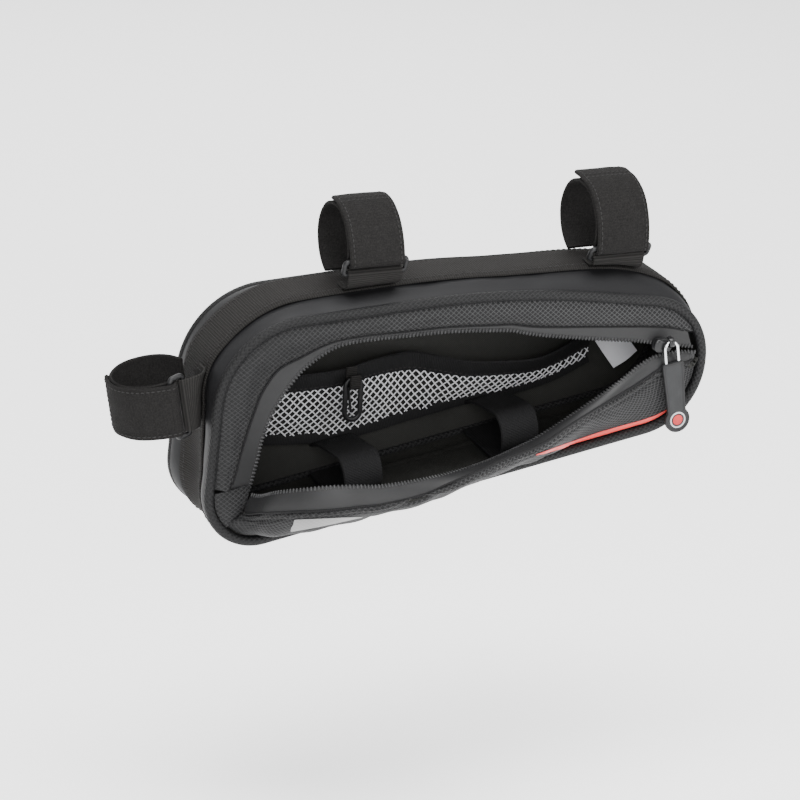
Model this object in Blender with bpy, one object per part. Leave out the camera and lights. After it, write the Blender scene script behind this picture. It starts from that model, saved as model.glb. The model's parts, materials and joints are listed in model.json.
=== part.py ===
"""Bicycle frame bag, zipped open, strapped under a top tube and against a seat tube.

The origin is the middle of the two top straps on the top tube's own axis. +X runs along the top
tube to the bicycle's front, +Y is the bicycle's left and +Z is square to the tube. The zip is on
the -Y side. All lengths are in metres.
"""

import math
from typing import NamedTuple

import bpy
import bmesh
import numpy as np

# Case: its outline in the XZ plane, measured from the tube's axis
BAG_LENGTH = 0.2775
REAR_REACH = 0.1590
REAR_HEIGHT = 0.1225
REAR_LEAN = 0.0095
FRONT_HEIGHT = 0.0649
CREST_BACK = 0.1650
CREST_DROP = 0.0217
REAR_FALL = 0.0078
FRONT_FALL = 0.0186
REAR_LOW_RADIUS = 0.028
REAR_TOP_RADIUS = 0.047
CREST_RADIUS = 0.500
FRONT_TOP_RADIUS = 0.036
FRONT_LOW_RADIUS = 0.039

# Case: its depth and walls
RIM_SPACING = 0.055
PIPING_DIAMETER = 0.005
CLOTH = 0.0016
GAP = 0.0003
CROWN_HEIGHT = 0.0110
TUBE_DENT = 0.0070
WEBBING_WIDTH = 0.030
WEBBING_THICKNESS = 0.0012
PANEL_BULGE = 0.0020
REAR_BULGE = 0.0030

# Zip, flap and corner patch
FLAP_REACH = 0.048
BELLY_REACH = 0.005
TAPE_THICKNESS = 0.0012
SEAM_GAP = 0.0009
PATCH_THICKNESS = 0.0012
# Play at the patch's two ends, as a share of the way between two corners
PATCH_MARGIN = 0.012

# Slider and its swinging pull
SLIDER_LENGTH = 0.0100
SLIDER_WIDTH = 0.0080
SLIDER_DEPTH = 0.0045
EYE_WALL = 0.0012
EYE_OPENING = 0.0032
EYE_LENGTH = 0.0026
WIRE_DIAMETER = 0.0016
LOOP_WIDTH = 0.0072
LOOP_LEG = 0.0075
PULL_LEAN = math.radians(9.5)
TAB_LENGTH = 0.0395
TAB_TOP_WIDTH = 0.0123
TAB_WAIST_WIDTH = 0.0105
TAB_END_DIAMETER = 0.0140
TAB_THICKNESS = 0.0022

# Straps, rings and the tubes that they close round
TOP_STRAP_WIDTH = 0.028
SEAT_STRAP_WIDTH = 0.027
STRAP_THICKNESS = 0.0016
STRAP_SPACING = 0.135
REAR_TUBE_RADIUS = 0.0184
FRONT_TUBE_RADIUS = 0.0193
SEAT_TUBE_RADIUS = 0.0175
SEAT_STRAP_DROP = 0.072
SEAT_AXIS_OFFSET = 0.0277
SEAT_TUBE_ANGLE = math.radians(80.4)
TUBE_CLEARANCE = 0.0006
RING_SPAN = 0.0075
RING_BAR = 0.0024
RING_SIDE_PLAY = 0.0012
TAB_CLOTH = 0.0012

# Inside
POCKET_DEPTH = 0.011
NET_THICKNESS = 0.0010
NET_STRAND = 0.0016
NET_COLUMNS = 17
NET_ROWS = 5
BINDING_HEIGHT = 0.0095
BINDING_THICKNESS = 0.0016
PUMP_LOOP_RADIUS = 0.0118
PUMP_LOOP_WIDTH = 0.020
PUMP_LOOP_THICKNESS = 0.0014
PUMP_LOOP_FORWARD = 0.012
HOOK_LENGTH = 0.025
HOOK_WIDTH = 0.011
HOOK_WIRE = 0.0026
HOOK_TAPE_WIDTH = 0.005
HOOK_TAPE_DROP = 0.009
HOOK_TAPE_FOLD = 0.0056
LABEL_WIDTH = 0.0156
LABEL_HEIGHT = 0.0220
LABEL_LEAN = math.radians(32.7)
LABEL_THICKNESS = 0.0010
LABEL_CURL = 0.0065

HALF_SPACING = RIM_SPACING / 2
PIPING_RADIUS = PIPING_DIAMETER / 2
PANEL_INSET = PIPING_DIAMETER + GAP
PANEL_Y = HALF_SPACING + CLOTH / 2
GUSSET_HALF = HALF_SPACING - PIPING_RADIUS - GAP
GUSSET_INSET = 0.0005
WEBBING_LINES = (-WEBBING_WIDTH / 2, 0.0, WEBBING_WIDTH / 2)
CORNERS = 5

CLOTH_BLACK = (0.018, 0.018, 0.020)
COATED_BLACK = (0.010, 0.010, 0.012)
WEBBING_GREY = (0.026, 0.024, 0.023)
TAPE_GREY = (0.050, 0.050, 0.052)
PLASTIC_BLACK = (0.008, 0.008, 0.009)
CHROME = (0.72, 0.73, 0.75)
RUBBER_GREY = (0.060, 0.062, 0.065)
NET_WHITE = (0.55, 0.56, 0.58)
LABEL_WHITE = (0.70, 0.70, 0.73)


class Row(NamedTuple):
    """A point of the front: shares of the bag's length, of its height there and of the reach."""
    along: float
    up: float
    out: float = 0.0


class FlapRow(NamedTuple):
    """A station of the flap: the rim place it is sewn to, its seam, its zip edge, its belly."""
    rim: float
    seam: Row
    edge: Row
    rise: float


class ZipRow(NamedTuple):
    """A station of the fixed side: a point on the teeth and one on the tape's outer seam."""
    teeth: Row
    seam: Row


class PocketRow(NamedTuple):
    """A station of the net pocket: along the bag, its floor and top, how far it stands open."""
    along: float
    floor: float
    top: float
    open: float


class StrapRow(NamedTuple):
    """A strap: its width and tube, where its ring sits and where its loose end stops."""
    name: str
    width: float
    tube: float
    ring_angle: float
    tip_angle: float
    tip_lift: float


# Height of the gusset over its rim, as a share of CROWN_HEIGHT, or below it of TUBE_DENT
CROWN = (
    (0.00, -0.30), (0.15, -1.00), (0.30, -0.93), (0.50, -0.45), (0.67, 0.04), (0.85, 0.22),
    (1.00, 0.09), (1.12, 0.18), (1.25, 0.41), (1.48, 0.47), (1.75, 0.42), (2.00, 0.40),
    (2.20, 0.55), (2.40, 0.82), (2.57, 1.00), (2.70, 0.92), (2.82, 0.62), (2.95, 0.33),
    (3.15, 0.14), (3.40, 0.05), (4.00, 0.05), (4.50, 0.14), (4.85, 0.05), (5.00, -0.30),
)

ZIP_ROWS = (
    ZipRow(Row(0.092, 0.258), Row(0.058, 0.287)),
    ZipRow(Row(0.099, 0.308), Row(0.067, 0.350)),
    ZipRow(Row(0.108, 0.394), Row(0.076, 0.434)),
    ZipRow(Row(0.116, 0.479), Row(0.089, 0.538)),
    ZipRow(Row(0.131, 0.575), Row(0.101, 0.621)),
    ZipRow(Row(0.153, 0.663), Row(0.115, 0.700)),
    ZipRow(Row(0.184, 0.749), Row(0.143, 0.782)),
    ZipRow(Row(0.212, 0.796), Row(0.183, 0.818)),
    ZipRow(Row(0.240, 0.830), Row(0.222, 0.852)),
    ZipRow(Row(0.268, 0.846), Row(0.258, 0.868)),
    ZipRow(Row(0.316, 0.846), Row(0.313, 0.868)),
    ZipRow(Row(0.374, 0.836), Row(0.374, 0.858)),
    ZipRow(Row(0.471, 0.818), Row(0.471, 0.842)),
    ZipRow(Row(0.571, 0.778), Row(0.571, 0.808)),
    ZipRow(Row(0.652, 0.740), Row(0.650, 0.786)),
    ZipRow(Row(0.775, 0.705), Row(0.775, 0.785)),
    ZipRow(Row(0.859, 0.681), Row(0.859, 0.785)),
    ZipRow(Row(0.900, 0.655), Row(0.905, 0.780)),
    ZipRow(Row(0.935, 0.636), Row(0.934, 0.768)),
    ZipRow(Row(0.968, 0.618), Row(0.957, 0.742)),
)

FLAP_ROWS = (
    FlapRow(5.010, Row(0.088, 0.170, 0.06), Row(0.096, 0.255, 0.06), 0.10),
    FlapRow(4.975, Row(0.096, 0.200, 0.25), Row(0.104, 0.272, 0.23), 0.20),
    FlapRow(4.940, Row(0.105, 0.236, 0.47), Row(0.119, 0.325, 0.50), 0.26),
    FlapRow(4.885, Row(0.143, 0.263, 0.73), Row(0.151, 0.358, 0.73), 0.24),
    FlapRow(4.835, Row(0.188, 0.268, 0.90), Row(0.189, 0.368, 0.86), 0.22),
    FlapRow(4.785, Row(0.232, 0.261, 0.98), Row(0.232, 0.355, 0.92), 0.20),
    FlapRow(4.740, Row(0.279, 0.240, 1.00), Row(0.279, 0.328, 0.92), 0.18),
    FlapRow(4.660, Row(0.358, 0.226, 0.97), Row(0.362, 0.288, 0.83), 0.15),
    FlapRow(4.595, Row(0.418, 0.228, 0.89), Row(0.425, 0.260, 0.73), 0.15),
    FlapRow(4.535, Row(0.474, 0.240, 0.80), Row(0.480, 0.243, 0.64), 0.17),
    FlapRow(4.470, Row(0.533, 0.236, 0.65), Row(0.540, 0.226, 0.50), 0.20),
    FlapRow(4.370, Row(0.627, 0.225, 0.46), Row(0.625, 0.222, 0.30), 0.25),
    FlapRow(4.295, Row(0.696, 0.272, 0.32), Row(0.700, 0.284, 0.20), 0.25),
    FlapRow(4.215, Row(0.764, 0.325, 0.20), Row(0.766, 0.359, 0.12), 0.25),
    FlapRow(4.120, Row(0.815, 0.375, 0.13), Row(0.815, 0.440, 0.08), 0.25),
    FlapRow(3.980, Row(0.860, 0.430, 0.08), Row(0.855, 0.520, 0.04), 0.25),
    FlapRow(3.800, Row(0.903, 0.500, 0.05), Row(0.893, 0.582, 0.03), 0.25),
    FlapRow(3.620, Row(0.938, 0.512, 0.04), Row(0.935, 0.592, 0.02), 0.25),
    FlapRow(3.450, Row(0.970, 0.500, 0.03), Row(0.972, 0.588, 0.02), 0.25),
)

POCKET_ROWS = (
    PocketRow(0.105, 0.330, 0.600, 0.00),
    PocketRow(0.150, 0.290, 0.585, 0.55),
    PocketRow(0.212, 0.250, 0.575, 0.95),
    PocketRow(0.324, 0.195, 0.555, 1.00),
    PocketRow(0.403, 0.190, 0.560, 0.70),
    PocketRow(0.478, 0.200, 0.535, 0.12),
    PocketRow(0.530, 0.205, 0.500, 0.55),
    PocketRow(0.590, 0.210, 0.450, 0.95),
    PocketRow(0.660, 0.210, 0.428, 1.00),
    PocketRow(0.730, 0.220, 0.415, 0.90),
    PocketRow(0.790, 0.255, 0.455, 0.60),
    PocketRow(0.850, 0.330, 0.540, 0.20),
)

STRAPS = (
    StrapRow("rear", TOP_STRAP_WIDTH, REAR_TUBE_RADIUS, math.radians(-18), math.radians(112), 0.0005),
    StrapRow("front", TOP_STRAP_WIDTH, FRONT_TUBE_RADIUS, math.radians(-30), math.radians(118), 0.0025),
    StrapRow("seat", SEAT_STRAP_WIDTH, SEAT_TUBE_RADIUS, math.radians(-20), math.radians(125), 0.0005),
)

# Rings of the rear panel's dome from its rim in: share of the way out, share of the bulge
PANEL_RINGS = ((1.0, 0.0), (0.55, 0.70), (0.0, 1.0))

# Loops round the pump space, by their place along the bag
PUMP_LOOPS = (("rear", 0.322), ("front", 0.632))
HOOK_ALONG = 0.345
LABEL_ALONG = 0.924
LABEL_UP = 0.288


def unit(vector):
    """The same direction with length one."""
    vector = np.asarray(vector, dtype=float)
    return vector / np.linalg.norm(vector, axis=-1, keepdims=True)


def material(name, colour, roughness, metallic=0.0):
    """A Principled material of one colour."""
    made = bpy.data.materials.new(name)
    made.use_nodes = True
    shader = made.node_tree.nodes["Principled BSDF"]
    shader.inputs["Base Color"].default_value = (*colour, 1.0)
    shader.inputs["Roughness"].default_value = roughness
    shader.inputs["Metallic"].default_value = metallic
    made.diffuse_color = (*colour, 1.0)
    return made


def add_mesh(name, points, faces, finish, smooth=True):
    """An object from points and faces, its faces turned outwards."""
    mesh = bpy.data.meshes.new(name)
    mesh.from_pydata([tuple(map(float, point)) for point in points], [], faces)
    shell = bmesh.new()
    shell.from_mesh(mesh)
    bmesh.ops.recalc_face_normals(shell, faces=shell.faces)
    shell.to_mesh(mesh)
    shell.free()
    mesh.materials.append(finish)
    if smooth:
        mesh.shade_smooth()
        mesh.set_sharp_from_angle(angle=math.radians(40))
    made = bpy.data.objects.new(name, mesh)
    bpy.context.scene.collection.objects.link(made)
    return made


def grid_faces(rows, columns, start, wrap_rows=False, wrap_columns=False):
    """Quads over a grid of rows by columns whose first point has the index start."""
    faces = []
    for i in range(rows if wrap_rows else rows - 1):
        for j in range(columns if wrap_columns else columns - 1):
            below = (i + 1) % rows
            beside = (j + 1) % columns
            faces.append((start + i * columns + j, start + below * columns + j,
                          start + below * columns + beside, start + i * columns + beside))
    return faces


def grid_normals(grid, wrap=False):
    """Unit normals of a grid of points: the cross product of its two tangents."""
    if wrap:
        along = np.roll(grid, -1, axis=0) - np.roll(grid, 1, axis=0)
    else:
        along = np.gradient(grid, axis=0)
    across = np.gradient(grid, axis=1)
    return unit(np.cross(along, across))


def sheet(name, grid, thickness, finish, wrap=False, centred=False, side=1.0):
    """A wall of even thickness on a grid of points, closed round its edges.

    The grid is one face and the other lies thickness away along side times its normals; with
    centred the grid is the middle. With wrap the last row joins the first.
    """
    rows, columns = grid.shape[:2]
    normals = grid_normals(grid, wrap) * side
    near = grid - normals * (thickness / 2 if centred else 0.0)
    far = near + normals * thickness
    points = np.concatenate([near.reshape(-1, 3), far.reshape(-1, 3)])
    count = rows * columns
    faces = grid_faces(rows, columns, 0, wrap) + grid_faces(rows, columns, count, wrap)
    for i in range(rows if wrap else rows - 1):
        below = (i + 1) % rows
        for j in (0, columns - 1):
            a, b = i * columns + j, below * columns + j
            faces.append((a, b, b + count, a + count))
    if not wrap:
        for j in range(columns - 1):
            for i in (0, rows - 1):
                a, b = i * columns + j, i * columns + j + 1
                faces.append((a, b, b + count, a + count))
    return add_mesh(name, points, faces, finish)


def tube(name, path, normal, radius, sides, finish, closed=True):
    """A round bar along a path that lies in the plane square to normal."""
    path = np.asarray(path, dtype=float)
    normal = unit(normal)
    if closed:
        tangent = unit(np.roll(path, -1, axis=0) - np.roll(path, 1, axis=0))
    else:
        tangent = unit(np.gradient(path, axis=0))
    beside = unit(np.cross(tangent, normal))
    angles = 2 * math.pi * (np.arange(sides) + 0.5) / sides
    grid = (path[:, None] + radius * (np.cos(angles)[None, :, None] * beside[:, None]
                                      + np.sin(angles)[None, :, None] * normal))
    faces = grid_faces(len(path), sides, 0, wrap_rows=closed, wrap_columns=True)
    if not closed:
        last = (len(path) - 1) * sides
        faces += [tuple(range(sides)), tuple(last + k for k in range(sides))]
    return add_mesh(name, grid.reshape(-1, 3), faces, finish)


def prism(name, outline, depth, finish):
    """A plate between an outline and its copy moved by the vector depth."""
    outline = np.asarray(outline, dtype=float)
    count = len(outline)
    points = np.concatenate([outline, outline + np.asarray(depth)])
    faces = [tuple(range(count)), tuple(range(count, 2 * count))]
    faces += [(k, (k + 1) % count, count + (k + 1) % count, count + k) for k in range(count)]
    return add_mesh(name, points, faces, finish, smooth=False)


class Outline:
    """The case's outline: a polygon with round corners, walked clockwise seen from -Y.

    A place on it is a number: 0 is the middle of the rear low corner's arc, 1 the rear top's,
    2 the crest's, 3 the front top's and 4 the front low's, with shares of the way between.
    """

    def __init__(self):
        rear = -REAR_REACH
        front = rear + BAG_LENGTH
        crest = -CREST_DROP
        rear_top = crest - REAR_FALL
        front_top = crest - FRONT_FALL
        self.points = np.array([
            (rear, rear_top - REAR_HEIGHT), (rear + REAR_LEAN, rear_top),
            (rear + CREST_BACK, crest), (front, front_top), (front, front_top - FRONT_HEIGHT)])
        sides = np.roll(self.points, -1, axis=0) - self.points
        self.lengths = np.linalg.norm(sides, axis=1)
        self.ways = unit(sides)
        headings = np.arctan2(self.ways[:, 1], self.ways[:, 0])
        self.turns = (headings - np.roll(headings, 1) + math.pi) % (2 * math.pi) - math.pi
        self.entry = np.roll(headings, 1) + math.pi / 2
        radii = np.array([REAR_LOW_RADIUS, REAR_TOP_RADIUS, CREST_RADIUS, FRONT_TOP_RADIUS,
                          FRONT_LOW_RADIUS])
        tangents = radii * np.tan(np.abs(self.turns) / 2)
        for k in range(CORNERS):
            room = 0.99 * self.lengths[k] / (tangents[k] + tangents[(k + 1) % CORNERS])
            if room < 1:
                tangents[[k, (k + 1) % CORNERS]] *= room
        self.tangents = tangents
        self.radii = tangents / np.tan(np.abs(self.turns) / 2)

    def leg(self, k, share):
        """Points and outward normals from the middle of corner k's arc to the next one's."""
        after = (k + 1) % CORNERS
        arc = self.radii * np.abs(self.turns) / 2
        straight = self.lengths[k] - self.tangents[k] - self.tangents[after]
        way = share * (arc[k] + straight + arc[after])
        first = np.clip(way / arc[k], 0, 1)
        second = np.clip((way - arc[k] - straight) / arc[after], 0, 1)
        angle = (self.entry[k] + self.turns[k] * (0.5 + 0.5 * first)
                 + self.turns[after] * 0.5 * second)
        normal = np.stack([np.cos(angle), np.sin(angle)], axis=-1)
        run = np.clip(way - arc[k], 0, straight)[:, None] * self.ways[k]
        exit_point = self.points[k] + self.ways[k] * self.tangents[k]
        exit_normal = np.array([-self.ways[k][1], self.ways[k][0]])
        start_turn = exit_point - exit_normal * self.radii[k]
        end_turn = (exit_point + self.ways[k] * straight) - exit_normal * self.radii[after]
        on_first = start_turn + normal * self.radii[k]
        on_second = end_turn + normal * self.radii[after]
        point = np.where((first < 1)[:, None], on_first,
                         np.where((second > 0)[:, None], on_second, exit_point + run))
        return point, normal

    def at(self, places, inset=0.0):
        """Points of the outline at these places, moved inwards by inset, and the normals."""
        places = np.atleast_1d(np.asarray(places, dtype=float))
        inset = np.broadcast_to(inset, places.shape)
        points = np.zeros((len(places), 2))
        normals = np.zeros((len(places), 2))
        corner = np.floor(places).astype(int) % CORNERS
        for k in range(CORNERS):
            here = corner == k
            if here.any():
                points[here], normals[here] = self.leg(k, places[here] - np.floor(places[here]))
        return points - normals * inset[:, None], normals

    def nearest(self, point):
        """The place on the outline that lies nearest to a point."""
        places = np.linspace(0, CORNERS, 1000, endpoint=False)
        points = self.at(places)[0]
        return places[np.argmin(np.linalg.norm(points - point, axis=1))]

    def inside(self, along, up):
        """The point at a share of the bag's length and of its height there."""
        x = self.points[0][0] + along * BAG_LENGTH
        low, high = self.points[0], self.points[4]
        bottom = low[1] + (high[1] - low[1]) * (x - low[0]) / (high[0] - low[0])
        top = np.interp(x, self.points[1:4, 0], self.points[1:4, 1])
        return np.array([x, bottom + up * (top - bottom)])


OUTLINE = Outline()
# Stations round the case, closer together where a corner is tight
LEG_STATIONS = (10, 10, 10, 8, 11)
STATIONS = np.concatenate([k + np.arange(count) / count for k, count in enumerate(LEG_STATIONS)])


def border(places, inset):
    """Points at these places on the faceted rim, whose corners are the stations."""
    corners = OUTLINE.at(STATIONS, inset)[0]
    corners = np.concatenate([corners, corners[:1]])
    steps = np.append(STATIONS, CORNERS)
    places = np.atleast_1d(places) % CORNERS
    return np.stack([np.interp(places, steps, corners[:, k]) for k in range(2)], axis=1)


def placed(points, y):
    """Points of the XZ plane at the depth y."""
    points = np.asarray(points, dtype=float)
    return np.stack([points[..., 0], np.broadcast_to(y, points.shape[:-1]), points[..., 1]], axis=-1)


def lift(places, across):
    """How far the gusset stands over its rim; across runs from -1 to 1 over its width.

    A crown is flat in its middle, 1 - across^4, and the tube's dent is narrow, (1 - across^2)^2.
    """
    table = np.array(CROWN)
    share = np.interp(np.asarray(places) % CORNERS, table[:, 0], table[:, 1])
    crown = np.clip(share, 0, None) * CROWN_HEIGHT * (1 - across ** 4)
    dent = np.clip(share, None, 0) * TUBE_DENT * (1 - across ** 2) ** 2
    return crown + dent


def gusset_surface(places, ys, raised=0.0):
    """The gusset's outer face at these places and depths, raised by this much."""
    columns = []
    for y in ys:
        inset = GUSSET_INSET - raised - lift(places, y / GUSSET_HALF)
        columns.append(placed(OUTLINE.at(places, inset)[0], y))
    return np.stack(columns, axis=1)


def build_case(finishes):
    """The gusset, its webbing, the two rims' piping and the rear panel."""
    edges = (-GUSSET_HALF, *WEBBING_LINES, GUSSET_HALF)
    sheet("gusset", gusset_surface(STATIONS, edges), CLOTH, finishes["coated"], wrap=True, side=-1.0)

    band = gusset_surface(STATIONS, WEBBING_LINES, raised=GAP + WEBBING_THICKNESS)
    sheet("gusset_webbing", band, WEBBING_THICKNESS, finishes["webbing"], wrap=True, side=-1.0)

    rim = OUTLINE.at(STATIONS, PIPING_RADIUS)[0]
    for name, y in (("front_piping", -HALF_SPACING), ("rear_piping", HALF_SPACING)):
        tube(name, placed(rim, y), (0, 1, 0), PIPING_RADIUS, 6, finishes["ripstop"])

    build_rear_panel(finishes["ripstop"])


def build_rear_panel(finish):
    """The panel on the far side: a low dome over the outline, closed on its middle point."""
    rim = OUTLINE.at(STATIONS, PANEL_INSET)[0]
    middle = rim.mean(axis=0)
    rings = [share for share, _ in PANEL_RINGS[:-1]]
    count = len(STATIONS)
    points = []
    for face in (-1, 1):
        for share in rings:
            points.append(placed(middle + (rim - middle) * share,
                                 HALF_SPACING + face * CLOTH / 2 + dome(share)))
        points.append(placed(middle[None], HALF_SPACING + face * CLOTH / 2 + dome(0.0)))
    layer = count * len(rings) + 1
    faces = []
    for start in (0, layer):
        faces += grid_faces(len(rings), count, start, wrap_columns=True)
        hub = start + layer - 1
        ring = hub - count
        faces += [(ring + k, ring + (k + 1) % count, hub) for k in range(count)]
    faces += [(k, (k + 1) % count, layer + (k + 1) % count, layer + k) for k in range(count)]
    add_mesh("rear_panel", np.concatenate(points), faces, finish)


def dome(share):
    """How far the rear panel bulges at this share of the way from its middle to its rim."""
    shares, heights = zip(*reversed(PANEL_RINGS))
    return REAR_BULGE * np.interp(share, shares, heights)


def rear_panel_y(point):
    """The depth of the rear panel's inner face at a point of the XZ plane."""
    rim = OUTLINE.at(STATIONS, PANEL_INSET)[0]
    middle = rim.mean(axis=0)
    arms = rim - middle
    ray = point - middle
    toward = np.argmax(unit(arms) @ unit(ray))
    share = np.linalg.norm(ray) / np.linalg.norm(arms[toward])
    return HALF_SPACING - CLOTH / 2 + dome(share)


def zip_line(rows, part):
    """The points of one column of the zip's table, in the XZ plane."""
    return np.array([OUTLINE.inside(getattr(row, part).along, getattr(row, part).up)
                     for row in rows])


def between(first, second, shares, margin_first=0.0, margin_second=0.0):
    """Rows of points on the lines from first to second, kept a margin from either end."""
    length = np.linalg.norm(second - first, axis=-1, keepdims=True)
    low = np.minimum(margin_first / length, 0.45)
    high = 1 - np.minimum(margin_second / length, 0.45)
    columns = [first + (second - first) * (low + (high - low) * share) for share in shares]
    return np.stack(columns, axis=1)


def build_fixed_front(finishes):
    """The fixed part of the front, over the zip and behind it, and its side of the zip tape."""
    seam = zip_line(ZIP_ROWS, "seam")
    teeth = zip_line(ZIP_ROWS, "teeth")
    rim = border([OUTLINE.nearest(point) for point in seam], PANEL_INSET)

    shares = np.array([0.0, 0.25, 0.5, 0.75, 1.0])
    panel = between(rim, seam, shares, margin_second=GAP)
    bulge = PANEL_BULGE * 4 * shares * (1 - shares)
    panel = placed(panel, -PANEL_Y - bulge[None, :])
    sheet("front_panel", panel, CLOTH, finishes["ripstop"])

    tape = placed(between(seam, teeth, (0.0, 0.5, 1.0)), -PANEL_Y)
    sheet("zip_tape_upper", tape, TAPE_THICKNESS, finishes["tape"])


def flap_points(part):
    """A column of the flap's table as points in space."""
    points = zip_line(FLAP_ROWS, part)
    out = np.array([getattr(row, part).out for row in FLAP_ROWS])
    return placed(points, -PANEL_Y - out * FLAP_REACH)


def flap_surface(shares):
    """The flap from the rim to its seam, a row for each station.

    Each row is a cubic curve: it leaves the rim outwards, sags over a belly that stands
    BELLY_REACH proud of the seam, and curls up into it.
    """
    root = placed(border([row.rim for row in FLAP_ROWS], PANEL_INSET + CLOTH), CLOTH - PANEL_Y)
    seam = flap_points("seam")
    reach = (root[:, 1] - seam[:, 1])[:, None]
    share_out = reach / FLAP_REACH
    rise = np.array([row.rise for row in FLAP_ROWS])[:, None]
    outwards = np.array([0.0, -1.0, 0.0])
    upwards = np.array([0.0, 0.0, 1.0])
    first = (root + (seam - root) * np.array([0.2, 0.0, 0.3]) * (1 - share_out)
             + outwards * reach * 0.5)
    second = (seam * np.array([1.0, 1.0, 0.0]) + outwards * BELLY_REACH * share_out
              + upwards * (root[:, 2:] + rise * reach) * share_out
              + upwards * (root[:, 2:] + (seam - root)[:, 2:] * 0.7) * (1 - share_out))
    columns = []
    for s in shares:
        columns.append((1 - s) ** 3 * root + 3 * s * (1 - s) ** 2 * first
                       + 3 * s ** 2 * (1 - s) * second + s ** 3 * seam)
    return np.stack(columns, axis=1)


def build_flap(finishes):
    """The flap that the zip frees, hanging open as a pouch, its zip tape and the corner patch."""
    surface = flap_surface(np.linspace(0, 1, 7))
    last = surface[:, -1]
    surface[:, -1] = last - unit(last - surface[:, -2]) * SEAM_GAP
    sheet("front_flap", surface, CLOTH, finishes["ripstop"])

    tape = between(last, flap_points("edge"), (0.0, 0.5, 1.0), margin_first=SEAM_GAP)
    sheet("zip_tape_lower", tape, TAPE_THICKNESS, finishes["tape"])

    low = FLAP_ROWS[0]
    places = np.linspace(OUTLINE.nearest(zip_line(ZIP_ROWS[:1], "seam")[0]) - PATCH_MARGIN,
                         low.rim % CORNERS + PATCH_MARGIN, 5)
    inner = np.linspace(OUTLINE.inside(low.edge.along, low.edge.up),
                        OUTLINE.inside(low.seam.along, low.seam.up), len(places))
    patch = between(border(places, PANEL_INSET), inner, (0.0, 0.5, 1.0), margin_second=2 * CLOTH)
    sheet("zip_end_patch", placed(patch, -PANEL_Y), PATCH_THICKNESS, finishes["ripstop"], side=-1.0)


class Frame:
    """A tube's own frame: width runs along the tube, away from the bag is up, forward is -Y."""

    def __init__(self, origin, width):
        self.origin = np.array([origin[0], 0.0, origin[1]])
        self.width = unit([width[0], 0.0, width[1]])
        self.away = unit([-width[1], 0.0, width[0]])
        self.forward = np.array([0.0, -1.0, 0.0])

    def point(self, forward, away, width):
        """A point from its three coordinates in this frame."""
        return (self.origin + np.multiply.outer(forward, self.forward)
                + np.multiply.outer(away, self.away) + np.multiply.outer(width, self.width))

    def webbing(self, forward):
        """Where the webbing's face lies at this depth: width along the tube against away."""
        lines = gusset_surface(STATIONS, WEBBING_LINES, raised=GAP + WEBBING_THICKNESS)
        step = np.clip(np.searchsorted(WEBBING_LINES, -forward) - 1, 0, len(WEBBING_LINES) - 2)
        share = (-forward - WEBBING_LINES[step]) / (WEBBING_LINES[step + 1] - WEBBING_LINES[step])
        face = lines[:, step] * (1 - share) + lines[:, step + 1] * share
        width = (face - self.origin) @ self.width
        away = (face - self.origin) @ self.away
        near = (np.abs(width) < 2 * TOP_STRAP_WIDTH) & (away < 0) & (away > -3 * REAR_TUBE_RADIUS)
        order = np.argsort(width[near])
        return width[near][order], away[near][order]

    def highest_webbing(self, forward, half_width):
        """The webbing's highest point under a strap of this half width."""
        width, away = self.webbing(forward)
        samples = np.linspace(-half_width, half_width, 15)
        return np.interp(samples, width, away).max()


def strap_frames():
    """The frame of each strap's tube, by the strap's name."""
    axis = np.array([math.cos(SEAT_TUBE_ANGLE), -math.sin(SEAT_TUBE_ANGLE)])
    seat = np.array([-REAR_REACH - SEAT_AXIS_OFFSET, 0.0]) + axis * SEAT_STRAP_DROP / math.sin(SEAT_TUBE_ANGLE)
    return {
        "rear": Frame((-STRAP_SPACING / 2, 0.0), (1.0, 0.0)),
        "front": Frame((STRAP_SPACING / 2, 0.0), (1.0, 0.0)),
        "seat": Frame(seat, -axis),
    }


def polar(radius, angle):
    """Forward and away coordinates of a point round a tube; angle 0 is straight forward."""
    return np.array([radius * math.cos(angle), radius * math.sin(angle)])


def strap_path(strap, frame):
    """The strap's middle line: round the back of the tube, through the ring and back over.

    It starts where it clears the webbing, follows the tube at its clearance, turns round the
    ring's upper bar and lies on itself up to the loose end.
    """
    inner = strap.tube + TUBE_CLEARANCE + STRAP_THICKNESS / 2
    turn = RING_BAR / 2 + 2 * GAP + STRAP_THICKNESS / 2
    bar_radius = inner + turn
    bar_angle = strap.ring_angle + RING_SPAN / 2 / bar_radius
    bar = polar(bar_radius, bar_angle)

    start = math.pi
    outer = inner + STRAP_THICKNESS / 2
    for degrees in range(270, 180, -1):
        foot = polar(outer, math.radians(degrees))
        if foot[1] - GAP > frame.highest_webbing(foot[0], strap.width / 2):
            start = math.radians(degrees)
            break

    round_tube = [polar(inner, angle) for angle in np.linspace(start, bar_angle, 20)]
    round_bar = [bar + polar(turn, angle) for angle in
                 np.linspace(bar_angle + math.pi, bar_angle + 2 * math.pi, 7)[1:]]
    over = []
    top = inner + STRAP_THICKNESS + GAP
    for share in np.linspace(0.05, 1, 14):
        angle = bar_angle + (strap.tip_angle - bar_angle) * share
        spread = (bar_radius + turn - top) * math.exp(-share * 7)
        lifted = strap.tip_lift * max(0.0, share - 0.8) / 0.2
        over.append(polar(top + spread + lifted, angle))
    return np.array(round_tube + round_bar + over), bar_radius


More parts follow.
